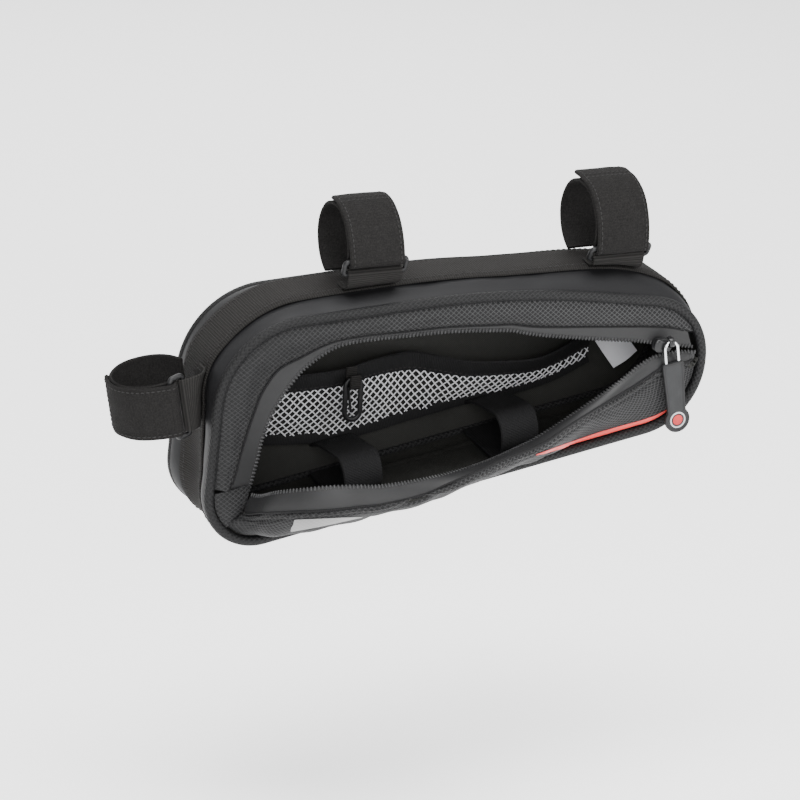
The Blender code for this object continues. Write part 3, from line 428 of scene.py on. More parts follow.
@dataclass(frozen=True)
class Moulded:
    """Moulded plastic or rubber with a fine eroded grain."""
    name: str
    colour: Colour
    worn: Colour
    rough: float = 0.42
    grain: float = 0.0005
    relief: float = 0.00003

    def make(self) -> bpy.types.Material:
        """Noise in the grain's size lifts the surface; slower noise changes the gloss."""
        board = Board(self.name, specular_ior_level=0.35)
        grain = board.noise(self.grain, 3.0, 0.6)
        slow = board.noise(0.006, 3.0)
        board.feed(base_color=board.colour(slow.step(0.3, 0.8), self.colour, self.worn),
                   roughness=self.rough + slow * 0.12, normal=board.bump(grain, self.relief, 0.8))
        return board.material


@dataclass(frozen=True)
class BrightWire:
    """Polished plated wire with faint drawing marks."""
    name: str = "bright_wire"

    def make(self) -> bpy.types.Material:
        """Fine noise dulls the polish in places."""
        board = Board(self.name, metallic=1.0)
        haze = board.noise(0.0008, 4.0, 0.65)
        board.feed(base_color=board.colour(haze, (0.62, 0.63, 0.65), (0.78, 0.79, 0.80)),
                   roughness=0.10 + haze * 0.16, normal=board.bump(haze, 0.00001, 0.5))
        return board.material


@dataclass(frozen=True)
class Thread:
    """Sewing thread: twisted strands with a soft sheen."""
    name: str = "thread"
    dark: Colour = (0.006, 0.006, 0.0063)
    light: Colour = (0.021, 0.020, 0.0195)

    def make(self) -> bpy.types.Material:
        """Fine noise stands for the twist."""
        board = Board(self.name, specular_ior_level=0.3)
        twist = board.noise(0.0003, 3.0, 0.6)
        board.feed(base_color=board.colour(twist, self.dark, self.light),
                   roughness=0.6 + twist * 0.2, normal=board.bump(twist, 0.0001, 0.8))
        return board.material


@dataclass(frozen=True)
class NetCord:
    """White knitted cord of the net pocket."""
    name: str = "white_net"
    shade: Colour = (0.38, 0.38, 0.40)
    light: Colour = (0.64, 0.64, 0.66)

    def make(self) -> bpy.types.Material:
        """Noise in the size of the knit, lighter on its loops."""
        board = Board(self.name, specular_ior_level=0.35, sheen_weight=0.2)
        knit = board.noise(0.0004, 3.0, 0.6)
        dust = board.noise(0.02, 2.0)
        board.feed(base_color=board.colour(knit * 0.7 + dust * 0.4, self.shade, self.light),
                   roughness=0.66 + knit * 0.2, normal=board.bump(knit, 0.00018, 0.9))
        return board.material


@dataclass(frozen=True)
class LabelCloth:
    """The care label: smooth white satin with a faint weave and a heat-cut edge."""
    name: str = "white_label"

    def make(self) -> bpy.types.Material:
        """A close weave on u and v with slow shading."""
        board = Board(self.name, specular_ior_level=0.4, sheen_weight=0.2)
        u, v = board.weave_coordinates()
        weave = u.wave(0.0005) * 0.5 + v.wave(0.0005) * 0.5
        soft = board.noise(0.008, 2.0)
        board.feed(base_color=board.colour(weave * 0.5 + soft * 0.5, (0.50, 0.50, 0.53),
                                           (0.74, 0.74, 0.77)),
                   roughness=0.5 + soft * 0.15, normal=board.bump(weave, 0.00005, 0.6))
        return board.material


@dataclass(frozen=True)
class Printed:
    """A thin printed film on the cloth, whose grid shows through it."""
    name: str
    low: Colour
    high: Colour
    rough: float

    def make(self) -> bpy.types.Material:
        """The cloth's diamond grid as a faint relief under the film."""
        board = Board(self.name, specular_ior_level=0.5)
        pillow = board.diamonds(CLOTH_CELL_ALONG, CLOTH_CELL_ACROSS)[2]
        speck = board.noise(0.0009, 4.0, 0.7)
        board.feed(base_color=board.colour(speck * 0.5 + pillow * 0.5, self.low, self.high),
                   roughness=self.rough + speck * 0.15, normal=board.bump(pillow, 0.0001, 0.7))
        return board.material


@dataclass(frozen=True)
class PaleFloor:
    """A plain pale studio floor."""
    name: str = "pale_floor"

    def make(self) -> bpy.types.Material:
        """Almost even, with a trace of noise in its gloss."""
        board = Board(self.name, specular_ior_level=0.2, emission_color=(1.0, 1.0, 1.0, 1.0),
                      emission_strength=0.95)
        soft = board.noise(0.6, 2.0)
        board.feed(base_color=board.colour(soft, (0.90, 0.90, 0.905), (0.93, 0.93, 0.93)),
                   roughness=0.80 + soft * 0.1)
        return board.material


class Finish(Enum):
    """Every finish on the bag, with the record's slot that it belongs to."""
    RIPSTOP = (Ripstop(), "ripstop")
    PIPING = (Ripstop("piping_cloth", line=(0.016, 0.016, 0.0165)), "ripstop")
    COATED = (CoatedCloth(), "coated_cloth")
    LINING = (Ripstop("lining", (0.0125, 0.0125, 0.0112), (0.0260, 0.0260, 0.0235), 0.0011, 0.0011,
                      0.0004, 0.00005), "coated_cloth")
    WEBBING = (Ribbed("ribbed_webbing"), "ribbed_webbing")
    TAB = (Ribbed("tab_webbing", (0.0045, 0.0043, 0.0041), (0.021, 0.020, 0.019), 0.0010),
           "ribbed_webbing")
    BINDING = (Ribbed("elastic_binding", (0.0040, 0.0040, 0.0043), (0.014, 0.014, 0.0145), 0.0009,
                      0.0004, 0.00014, 0.72), "ribbed_webbing")
    ELASTIC = (Ribbed("black_elastic", (0.0030, 0.0030, 0.0033), (0.015, 0.015, 0.0155), 0.0008,
                      0.0012, 0.00018, 0.75), "black_elastic")
    STRAP = (HookStrap(), "hook_strap")
    TAPE = (SmoothTape(), "zip_tape")
    TEETH = (Moulded("zip_teeth", (0.016, 0.016, 0.0165), (0.034, 0.034, 0.035), 0.36), "zip_tape")
    PLASTIC = (Moulded("black_plastic", (0.0035, 0.0035, 0.004), (0.008, 0.008, 0.0085), 0.42),
               "black_plastic")
    SLIDER = (Moulded("slider_enamel", (0.006, 0.006, 0.0065), (0.014, 0.014, 0.015), 0.26),
              "black_plastic")
    WIRE = (BrightWire(), "bright_wire")
    RUBBER = (Moulded("grey_rubber", (0.0165, 0.0170, 0.0178), (0.0225, 0.0232, 0.0243), 0.58, 0.0007,
                      0.00006), "grey_rubber")
    RUBBER_DARK = (Moulded("dark_rubber", (0.007, 0.007, 0.0075), (0.012, 0.012, 0.013), 0.50,
                           0.0007, 0.00006), "grey_rubber")
    RED_RUBBER = (Moulded("red_rubber", (0.42, 0.020, 0.022), (0.52, 0.035, 0.035), 0.42, 0.0007,
                          0.00004), "grey_rubber")
    PALE_RUBBER = (Moulded("pale_rubber", (0.42, 0.43, 0.44), (0.52, 0.53, 0.54), 0.45, 0.0007,
                           0.00004), "grey_rubber")
    NET = (NetCord(), "white_net")
    LABEL = (LabelCloth(), "white_label")
    THREAD = (Thread(), "ripstop")
    SILVER = (Printed("silver_film", (0.17, 0.17, 0.168), (0.25, 0.25, 0.247), 0.40), "ripstop")
    STRIPE = (Printed("red_film", (0.52, 0.030, 0.025), (0.66, 0.070, 0.060), 0.42), "ripstop")


MADE: dict[Finish, bpy.types.Material] = {}


def material_of(finish: Finish) -> bpy.types.Material:
    """The finish's material, made once."""
    if finish not in MADE:
        MADE[finish] = finish.value[0].make()
    return MADE[finish]


def build_mesh(name: str, points: Array, faces: Sequence[Array], uvs: Sequence[Array] | None = None,
               slots: Sequence[int] | None = None, sharp: float = 42.0) -> bpy.types.Object:
    """A smooth mesh object with its faces turned outwards.

    Args:
        name: The piece's name.
        points: Its vertices, one row each.
        faces: Groups of faces; all faces of a group have the same number of corners.
        uvs: For each group the UV of every corner, in metres.
        slots: For each group the material slot.
        sharp: Edges that bend by more than this angle in degrees stay sharp.

    Returns:
        The object, linked to the scene at the origin.
    """
    mesh = bpy.data.meshes.new(name)
    mesh.vertices.add(len(points))
    mesh.vertices.foreach_set("co", np.asarray(points, dtype=np.float32).ravel())
    corners = np.concatenate([np.asarray(group).ravel() for group in faces])
    sizes = np.concatenate([np.full(len(group), np.shape(group)[1]) for group in faces])
    mesh.loops.add(len(corners))
    mesh.loops.foreach_set("vertex_index", corners.astype(np.int32))
    mesh.polygons.add(len(sizes))
    mesh.polygons.foreach_set("loop_start", (np.cumsum(sizes) - sizes).astype(np.int32))
    if slots is not None:
        indices = np.concatenate([np.full(len(group), slot) for group, slot in zip(faces, slots)])
        mesh.polygons.foreach_set("material_index", indices.astype(np.int32))
    mesh.update(calc_edges=True)
    layer = mesh.uv_layers.new(name="weave")
    if uvs is not None:
        flat = np.concatenate([np.asarray(group, dtype=np.float32).reshape(-1, 2) for group in uvs])
        layer.data.foreach_set("uv", flat.ravel())
    mesh.validate()
    shell = bmesh.new()
    shell.from_mesh(mesh)
    bmesh.ops.recalc_face_normals(shell, faces=shell.faces)
    shell.to_mesh(mesh)
    shell.free()
    mesh.shade_smooth()
    mesh.set_sharp_from_angle(angle=math.radians(sharp))
    made = bpy.data.objects.new(name, mesh)
    bpy.context.scene.collection.objects.link(made)
    return made


def quads_of(rows: int, columns: int, start: int, wrap_rows: bool = False,
             wrap_columns: bool = False) -> Array:
    """Corner numbers of the quads over a grid of rows by columns that starts at start."""
    i = np.arange(rows if wrap_rows else rows - 1)[:, None]
    j = np.arange(columns if wrap_columns else columns - 1)[None, :]
    below = (i + 1) % rows
    beside = (j + 1) % columns
    corners = [i * columns + j, below * columns + j, below * columns + beside, i * columns + beside]
    return start + np.stack(np.broadcast_arrays(*corners), axis=-1).reshape(-1, 4)


def quad_uvs(u: Array, v: Array) -> Array:
    """UVs of the same quads, from coordinates at (rows + 1 where wrapped) by columns."""
    grid = np.stack(np.broadcast_arrays(u, v), axis=-1)
    return np.stack([grid[:-1, :-1], grid[1:, :-1], grid[1:, 1:], grid[:-1, 1:]],
                    axis=2).reshape(-1, 4, 2)


def edge_uvs(u: Array, v: Array) -> Array:
    """UVs of the quads of a strip whose two long sides have the same coordinates."""
    line = np.stack([u, v], axis=1)
    return np.stack([line[:-1], line[1:], line[1:], line[:-1]], axis=1)


def surface_normals(grid: Array, wrap: bool = False) -> Array:
    """Unit normals of a grid: the cross product of its tangents along rows and across columns."""
    if wrap:
        along = np.roll(grid, -1, axis=0) - np.roll(grid, 1, axis=0)
    else:
        along = np.gradient(grid, axis=0)
    return unit(np.cross(along, np.gradient(grid, axis=1)))


def facing(grid: Array, way: Array, row: int) -> float:
    """1 where the grid's normals in the middle of a row point this way, otherwise -1."""
    return 1.0 if surface_normals(grid)[row, grid.shape[1] // 2] @ way > 0 else -1.0


def fan(ring: Array, centre: int) -> Array:
    """Triangles from a closed ring of vertices to one in its middle, by their numbers."""
    return np.stack([ring, np.roll(ring, -1), np.full(len(ring), centre)], axis=1)


def metres_of(grid: Array, wrap: bool) -> tuple[Array, Array]:
    """Weave coordinates of a grid: mean length along its rows, and length across each row.

    Args:
        grid: Points, rows by columns.
        wrap: True where the last row joins the first; the result then has one row more.

    Returns:
        u and v in metres, each rows by columns.
    """
    if wrap:
        grid = np.concatenate([grid, grid[:1]])
    steps = np.linalg.norm(np.diff(grid, axis=0), axis=2).mean(axis=1)
    u = np.concatenate([[0.0], np.cumsum(steps)])
    v = np.concatenate([np.zeros((len(grid), 1)),
                        np.cumsum(np.linalg.norm(np.diff(grid, axis=1), axis=2), axis=1)], axis=1)
    v = v - v[:, -1:] / 2
    return np.broadcast_to(u[:, None], v.shape), v


def cloth(name: str, grid: Array, thickness: float, wrap: bool = False, side: float = 1.0,
          round_edges: bool = True, flat_weave: bool = False) -> bpy.types.Object:
    """A closed wall of cloth under a grid of points.

    The grid is the outer face. The inner one lies thickness under it along side times the
    normals, and the long edges bulge by half a thickness where they are rounded. Outer faces take
    slot 0 and inner ones slot 1.

    Args:
        name: The piece's name.
        grid: Points of the outer face, rows by columns.
        thickness: The wall, in metres.
        wrap: True where the last row joins the first.
        side: 1 or -1, picks the side on which the outer normal points.
        round_edges: Adds a row of points round each long edge.
        flat_weave: The weave coordinates are X and Z instead of lengths on the cloth.

    Returns:
        The piece.
    """
    normals = surface_normals(grid, wrap) * side
    if flat_weave:
        u, v = grid[..., 0], grid[..., 2]
        if wrap:
            u, v = (np.concatenate([part, part[:1]]) for part in (u, v))
    else:
        u, v = metres_of(grid, wrap)
    layers = [grid, grid - normals * thickness]
    rows, columns = grid.shape[:2]
    count = rows * columns
    points = [layer.reshape(-1, 3) for layer in layers]
    faces = [quads_of(rows, columns, 0, wrap), quads_of(rows, columns, count, wrap)]
    uvs = [quad_uvs(u, v)] * 2
    slots = [0, 1]
    i = np.arange(rows if wrap else rows - 1)
    below = (i + 1) % rows
    used = 2 * count
    for column, inner in ((0, 1), (columns - 1, columns - 2)):
        a, b = i * columns + column, below * columns + column
        strip = edge_uvs(u[:, column], v[:, column])
        if round_edges:
            away = unit(grid[:, column] - grid[:, inner])
            middle = grid[:, column] - normals[:, column] * thickness / 2 + away * thickness * 0.4
            points.append(middle)
            m, n = used + i, used + below
            faces += [np.stack([a, b, n, m], axis=1), np.stack([m, n, b + count, a + count], axis=1)]
            uvs += [strip, strip]
            slots += [0, 0]
            used += rows
        else:
            faces.append(np.stack([a, b, b + count, a + count], axis=1))
            uvs.append(strip)
            slots.append(0)
    if not wrap:
        j = np.arange(columns - 1)
        extra = [2 * count, 2 * count + rows] if round_edges else []
        for row in (0, rows - 1):
            a, b = row * columns + j, row * columns + j + 1
            faces.append(np.stack([a, b, b + count, a + count], axis=1))
            uvs.append(edge_uvs(u[row], v[row]))
            slots.append(0)
            for start, column in zip(extra, (0, columns - 1)):
                corner = row * columns + column
                faces.append(np.array([[corner, start + row, corner + count]]))
                uvs.append(np.tile([u[row, column], v[row, column]], (1, 3, 1)))
                slots.append(0)
    return build_mesh(name, np.concatenate(points), faces, uvs, slots)


def sweep(name: str, path: Array, profile: Array, guide: Array,
          closed: bool = False) -> bpy.types.Object:
    """A bar with an even section: each path point plus a * beside + b * guide.

    beside is the path's tangent crossed with guide, and (a, b) runs round the profile.

    Args:
        name: The piece's name.
        path: The points that the section's origin follows.
        profile: The section's points, two numbers each.
        guide: A direction, or one for each path point, that the second number runs along.
        closed: True where the path's end joins its start.

    Returns:
        The piece.
    """
    path = np.asarray(path, dtype=float)
    if closed:
        tangent = unit(np.roll(path, -1, axis=0) - np.roll(path, 1, axis=0))
    else:
        tangent = unit(np.gradient(path, axis=0))
    guide = np.broadcast_to(guide, path.shape)
    beside = unit(np.cross(tangent, guide))
    guide = unit(np.cross(beside, tangent))
    grid = (path[:, None] + profile[None, :, :1] * beside[:, None]
            + profile[None, :, 1:] * guide[:, None])
    rows, columns = grid.shape[:2]
    ring = np.concatenate([profile, profile[:1]])
    around = lengths_along(ring)
    along = lengths_along(np.concatenate([path, path[:1]]) if closed else path)
    faces = [quads_of(rows, columns, 0, closed, True)]
    uvs = [quad_uvs(along[:, None], around[None, :])]
    if not closed:
        for row in (0, rows - 1):
            faces.append((row * columns + np.arange(columns))[None, :])
            uvs.append(profile[None, :, :])
    return build_mesh(name, grid.reshape(-1, 3), faces, uvs)


def oval(width: float, height: float, sides: int, squareness: float = 1.0) -> Array:
    """A closed section: an ellipse, or with a squareness under 1 a superellipse."""
    angle = math.tau * (np.arange(sides) + 0.5) / sides
    cos, sin = np.cos(angle), np.sin(angle)
    return np.stack([np.sign(cos) * np.abs(cos) ** squareness * width / 2,
                     np.sign(sin) * np.abs(sin) ** squareness * height / 2], axis=1)


def scatter(name: str, points: Array, faces: Sequence[Array], places: Array,
            axes: Array) -> bpy.types.Object:
    """Many copies of one small shape in one mesh.

    Args:
        name: The piece's name.
        points: The small shape's vertices.
        faces: Its groups of faces.
        places: Where each copy's origin goes.
        axes: For each copy three rows, the directions of the shape's own axes.

    Returns:
        The piece.
    """
    spots = np.einsum("pa,kab->kpb", points, axes) + places[:, None]
    shift = (np.arange(len(places)) * len(points))[:, None, None]
    groups = [(shift + np.asarray(group)[None]).reshape(-1, np.shape(group)[1]) for group in faces]
    return build_mesh(name, spots.reshape(-1, 3), groups, sharp=60.0)


def lozenge(length: float, width: float, height: float, rings: int, sides: int,
            arch: float = 0.0, bulge: Callable[[Array], Array] | None = None) -> tuple[Array, list[Array]]:
    """A small rounded bar along its first axis, for stitches and teeth.

    Args:
        length: End to end.
        width: Across, along the second axis.
        height: Along the third axis.
        rings: Sections along it.
        sides: Corners of each section.
        arch: How far its ends dip under its middle.
        bulge: Scales the section at places from -1 to 1 along it.

    Returns:
        Its vertices and its groups of faces.
    """
    along = np.sin(np.linspace(-1, 1, rings) * math.pi / 2)
    scale = np.sqrt(np.clip(1 - along ** 6, 0.05, 1))
    if bulge is not None:
        scale = scale * bulge(along)
    angle = math.tau * (np.arange(sides) + 0.5) / sides
    points = np.stack(np.broadcast_arrays(
        (along * length / 2)[:, None],
        scale[:, None] * np.cos(angle) * width / 2,
        scale[:, None] * np.sin(angle) * height / 2 - (arch * along ** 4)[:, None]), axis=-1)
    faces = [quads_of(rings, sides, 0, False, True),
             np.stack([np.arange(sides), (rings - 1) * sides + np.arange(sides)])]
    return points.reshape(-1, 3), faces


@dataclass
class Stitching:
    """Rows of sewn stitches, gathered and then made as one piece."""
    pitch: float = 0.0031
    length: float = 0.0023
    thread: float = 0.00052
    places: list[Array] = field(default_factory=list)
    axes: list[Array] = field(default_factory=list)

    def row(self, line: Array, normal: Array) -> None:
        """Adds a row of stitches along a line.

        Args:
            line: The points that it follows, on the cloth.
            normal: The cloth's outward direction, one or one for each point.
        """
        total = lengths_along(line)[-1]
        middles = np.arange(self.pitch / 2, total, self.pitch)
        if not len(middles):
            return
        half = self.length / 2
        ahead = at_lengths(line, np.minimum(middles + half, total))
        behind = at_lengths(line, np.maximum(middles - half, 0))
        up = read_rows(middles, lengths_along(line), np.broadcast_to(normal, line.shape))
        way = unit(ahead - behind)
        side = unit(np.cross(up, way))
        up = np.cross(way, side)
        self.places.append((ahead + behind) / 2 + up * self.thread * 0.25)
        self.axes.append(np.stack([way, side, up], axis=1))

    def sew(self, grid: Array, normals: Array, rows: Sequence[int], columns: Sequence[int],
            start: int, stop: int | None = None) -> None:
        """Adds stitches along some rows and columns of a cloth's grid.

        Args:
            grid: The cloth's outer face.
            normals: Its outward normals.
            rows: The rows to sew, all but their ends.
            columns: The columns to sew.
            start: The row from which the columns are sewn.
            stop: The row before which they end.
        """
        for row in rows:
            self.row(grid[row, 1:-1], normals[row, 1:-1])
        for column in columns:
            self.row(grid[start:stop, column], normals[start:stop, column])

    def make(self, name: str) -> None:
        """Makes all rows as one piece."""
        points, faces = lozenge(self.length, self.thread, self.thread, 5, 6, self.thread * 0.7)
        piece = scatter(name, points, faces, np.concatenate(self.places), np.concatenate(self.axes))
        dress(piece, BAG, Finish.THREAD)


def dress(piece: bpy.types.Object, body: str, *finishes: Finish,
          replaces: Iterable[str] = ()) -> bpy.types.Object:
    """Gives a piece its materials and body, and hides the CAD nodes that it stands for.

    Args:
        piece: The finished piece.
        body: The body that it rides on.
        finishes: One finish for each material slot.
        replaces: The CAD nodes that it stands for.

    Returns:
        The piece.
    """
    for finish in finishes:
        piece.data.materials.append(material_of(finish))
    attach(piece, body)
    nodes = list(replaces)
    if nodes:
        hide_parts(*nodes)
    piece.data.calc_loop_triangles()
    LOG.info("%s: %d triangles", piece.name, len(piece.data.loop_triangles))
    return piece


def sewn(name: str, grid: Array, wall: float, node: str, outer: Finish, lining: Finish | None = None,
         wrap: bool = False, side: float = 1.0, flat_weave: bool = False) -> bpy.types.Object:
    """A wall of cloth on the bag that stands for one CAD node.

    Args:
        name: The piece's name.
        grid: Points of its outer face.
        wall: Its thickness, in metres.
        node: The CAD node.
        outer: The finish of its outer face.
        lining: The finish of its inner face, where it is another one.
        wrap: As in cloth().
        side: As in cloth().
        flat_weave: As in cloth().

    Returns:
        The piece.
    """
    piece = cloth(name, grid, wall, wrap, side, flat_weave=flat_weave)
    return dress(piece, BAG, outer, lining or outer, replaces=[node])


@dataclass(frozen=True)
class CaseForm:
    """Sizes of the case: its outline, depth and walls."""
    length: float = 0.2775
    rear_reach: float = 0.1590
    rear_height: float = 0.1225
    rear_lean: float = 0.0095
    front_height: float = 0.0649
    crest_back: float = 0.1650
    crest_drop: float = 0.0217
    rear_fall: float = 0.0078
    front_fall: float = 0.0186
    radii: tuple[float, ...] = (0.028, 0.047, 0.500, 0.036, 0.039)
    half_spacing: float = 0.0275
    piping_radius: float = 0.0025
    wall: float = 0.0016
    gap: float = 0.0003
    crown_height: float = 0.0110
    tube_dent: float = 0.0070
    webbing_width: float = 0.030
    webbing_thickness: float = 0.0012
    gusset_inset: float = 0.0005

    @property
    def panel_y(self) -> float:
        """The depth of the front panel's outer face, without its sign."""
        return self.half_spacing + self.wall / 2

    @property
    def panel_inset(self) -> float:
        """How far inside the outline the panels begin."""
        return 2 * self.piping_radius + self.gap

    @property
    def gusset_half(self) -> float:
        """Half the gusset's width between the two pipings."""
        return self.half_spacing - self.piping_radius - self.gap


FORM = CaseForm()

# Height of the gusset over its rim by place: a share of the crown, or below 0 of the tube's dent
CROWN = (
    (0.00, -0.30), (0.15, -1.00), (0.30, -0.93), (0.50, -0.45), (0.67, 0.04), (0.85, 0.22),
    (1.00, 0.09), (1.12, 0.18), (1.25, 0.41), (1.48, 0.47), (1.75, 0.42), (2.00, 0.40),
    (2.20, 0.55), (2.40, 0.82), (2.57, 1.00), (2.70, 0.92), (2.82, 0.62), (2.95, 0.33),
    (3.15, 0.14), (3.40, 0.05), (4.00, 0.05), (4.50, 0.14), (4.85, 0.05), (5.00, -0.30),
)


class Outline:
    """The case's outline in the XZ plane: a polygon whose corners are arcs."""

    CORNERS = 5

    def __init__(self, form: CaseForm) -> None:
        """Works out the arcs and straight runs from the sizes."""
        self.form = form
        rear, front = -form.rear_reach, form.length - form.rear_reach
        crest = -form.crest_drop
        rear_top, front_top = crest - form.rear_fall, crest - form.front_fall
        self.points = np.array([
            (rear, rear_top - form.rear_height), (rear + form.rear_lean, rear_top),
            (rear + form.crest_back, crest), (front, front_top),
            (front, front_top - form.front_height)])
        sides = np.roll(self.points, -1, axis=0) - self.points
        self.lengths = np.linalg.norm(sides, axis=1)
        self.ways = unit(sides)
        headings = np.arctan2(self.ways[:, 1], self.ways[:, 0])
        self.turns = (headings - np.roll(headings, 1) + math.pi) % math.tau - math.pi
        self.entry = np.roll(headings, 1) + math.pi / 2
        tangents = np.array(form.radii) * np.tan(np.abs(self.turns) / 2)
        for k in range(self.CORNERS):
            after = (k + 1) % self.CORNERS
            room = 0.99 * self.lengths[k] / (tangents[k] + tangents[after])
            if room < 1:
                tangents[[k, after]] *= room
        self.tangents = tangents
        self.radii = tangents / np.tan(np.abs(self.turns) / 2)
        dense = np.linspace(0, self.CORNERS, 6001)
        self._steps = lengths_along(self.at(dense)[0])
        self._dense = dense

    def leg(self, k: int, share: Array) -> tuple[Array, Array]:
        """Points and outward normals from the middle of corner k's arc to the next corner's."""
        after = (k + 1) % self.CORNERS
        arc = self.radii * np.abs(self.turns) / 2
        straight = self.lengths[k] - self.tangents[k] - self.tangents[after]
        way = share * (arc[k] + straight + arc[after])
        first = np.clip(way / arc[k], 0, 1)
        second = np.clip((way - arc[k] - straight) / arc[after], 0, 1)
        angle = (self.entry[k] + self.turns[k] * (0.5 + 0.5 * first)
                 + self.turns[after] * 0.5 * second)
        normal = np.stack([np.cos(angle), np.sin(angle)], axis=-1)
        run = np.clip(way - arc[k], 0, straight)[:, None] * self.ways[k]
        exit_point = self.points[k] + self.ways[k] * self.tangents[k]
        exit_normal = np.array([-self.ways[k][1], self.ways[k][0]])
        on_first = exit_point + (normal - exit_normal) * self.radii[k]
        on_second = exit_point + self.ways[k] * straight + (normal - exit_normal) * self.radii[after]
        point = np.where((first < 1)[:, None], on_first,
                         np.where((second > 0)[:, None], on_second, exit_point + run))
        return point, normal

    def at(self, places: Array, inset: float | Array = 0.0) -> tuple[Array, Array]:
        """Points at these places, moved inwards by inset, and their outward normals."""
        places = np.atleast_1d(np.asarray(places, dtype=float))
        inset = np.broadcast_to(inset, places.shape)
        points, normals = np.zeros((2, len(places), 2))
        corner = np.floor(places).astype(int) % self.CORNERS
        for k in range(self.CORNERS):
            here = corner == k
            if here.any():
                points[here], normals[here] = self.leg(k, places[here] - np.floor(places[here]))
        return points - normals * inset[:, None], normals

    def even_places(self, count: int, first: float = 0.0, last: float = 5.0) -> Array:
        """Places that lie at even steps of length from first to last; last itself is left out."""
        start, end = np.interp([first, last], self._dense, self._steps)
        return np.interp(np.linspace(start, end, count, endpoint=False), self._steps, self._dense)

    def nearest(self, points: Array) -> Array:
        """The place on the outline that lies nearest to each point."""
        places = self._dense[:-1:4]
        spots = self.at(places)[0]
        away = np.linalg.norm(spots[None] - np.atleast_2d(points)[:, None], axis=2)
        return places[np.argmin(away, axis=1)]

    def inside(self, along: Array, up: Array) -> Array:
        """Points at shares of the bag's length and of its height there."""
        x = self.points[0][0] + np.asarray(along) * self.form.length
        low, high = self.points[0], self.points[4]
        bottom = low[1] + (high[1] - low[1]) * (x - low[0]) / (high[0] - low[0])
        top = np.interp(x, self.points[1:4, 0], self.points[1:4, 1])
        return np.stack([x, bottom + np.asarray(up) * (top - bottom)], axis=-1)

    def crown(self, places: Array) -> Array:
        """The crown's table read on a smooth closed curve: a running mean with a bell's weights."""
        table = np.array(CROWN)
        dense = np.linspace(0, self.CORNERS, 1000, endpoint=False)
        raw = np.interp(dense, table[:, 0], table[:, 1])
        weights = bell(np.arange(-30, 31), 0, 11)
        padded = np.concatenate([raw[-30:], raw, raw[:30]])
        smooth = np.convolve(padded, weights / weights.sum(), mode="valid")
        return np.interp(np.asarray(places) % self.CORNERS, dense, smooth, period=self.CORNERS)

    def lift(self, places: Array, across: Array) -> Array:
        """How far the gusset stands over its rim; across runs from -1 to 1 over its width.

        A crown is 1 - across^4, flat in its middle; the tube's dent is (1 - across^2)^2.
        """
        share = self.crown(places)
        return (np.clip(share, 0, None) * self.form.crown_height * (1 - across ** 4)
                + np.clip(share, None, 0) * self.form.tube_dent * (1 - across ** 2) ** 2)

    def gusset(self, places: Array, ys: Array, raised: float | Array = 0.0) -> Array:
        """The gusset's outer face, rows by columns, raised by this much."""
        raised = np.broadcast_to(raised, (len(places), len(ys)))
        columns = []
        for k, y in enumerate(ys):
            inset = self.form.gusset_inset - raised[:, k] - self.lift(places, y / self.form.gusset_half)
            columns.append(placed(self.at(places, inset)[0], y))
        return np.stack(columns, axis=1)


def placed(points: Array, y: float | Array) -> Array:
    """Points of the XZ plane at the depth y."""
    points = np.asarray(points, dtype=float)
    return np.stack([points[..., 0], np.broadcast_to(y, points.shape[:-1]), points[..., 1]], axis=-1)


OUTLINE = Outline(FORM)


@dataclass
class CaseBand:
    """The band round the case: gusset with its lining, sewn webbing, and the two pipings."""
    form: CaseForm = FORM
    stations: int = 620
    fold_depth: float = 0.00035
    fold_size: float = 0.026
    fold_seed: int = 5
    run: float = 0.70
    crease_depth: float = 0.0005
    crease_gap: float = 0.0004
    crease_width: float = 0.0011
    edge_drop: float = 0.0003

    def build(self) -> None:
        """Makes and dresses every piece of the band."""
        self.build_gusset()
        self.build_webbing()
        self.build_piping("front_piping_cover", "front_piping", -self.form.half_spacing)
        self.build_piping("rear_piping_cover", "rear_piping", self.form.half_spacing)

    def build_gusset(self) -> None:
        """The gusset: soft waves on its two coated bands and a crease beside the webbing."""
        places = OUTLINE.even_places(self.stations)
        half = self.form.gusset_half + self.form.gap * 2
        ys = np.linspace(-half, half, 41)
        run = np.linspace(0, self.run, len(places), endpoint=False)[:, None]
        edge = 1 - (np.abs(ys) / half) ** 6
        waves = ripples(run, ys[None, :], self.fold_size, self.fold_seed) * self.fold_depth * edge
        beside = self.form.webbing_width / 2 + self.crease_gap
        crease = bell(np.abs(ys), beside, self.crease_width) * self.crease_depth
        grid = OUTLINE.gusset(places, ys, waves - crease)
        piece = sewn("gusset_cloth", grid, self.form.wall, "gusset", Finish.COATED, Finish.LINING,
                     wrap=True)

    def build_webbing(self) -> None:
        """The webbing sewn round the gusset, with a row of stitches along either edge."""
        places = OUTLINE.even_places(self.stations)
        half = self.form.webbing_width / 2
        ys = np.linspace(-half, half, 21)
        raised = self.form.gap + self.form.webbing_thickness
        grid = OUTLINE.gusset(places, ys, raised - self.edge_drop * (np.abs(ys) / half)[None, :] ** 8)
        sewn("gusset_webbing_band", grid, self.form.webbing_thickness, "gusset_webbing", Finish.WEBBING,
             wrap=True)
        thread = Stitching()
        thread.sew(grid, surface_normals(grid, True), (), (2, -3), 0)
        thread.make("webbing_stitches")

    def build_piping(self, name: str, node: str, y: float) -> None:
        """One rim's piping: a cord in a strip of cloth, a little flat."""
        places = OUTLINE.even_places(self.stations)
        rim = placed(OUTLINE.at(places, self.form.piping_radius)[0], y)
        size = 2 * self.form.piping_radius
        piece = sweep(name, rim, oval(size, size, 20, 0.86), np.array([0.0, 1.0, 0.0]), closed=True)
        dress(piece, BAG, Finish.PIPING, replaces=[node])


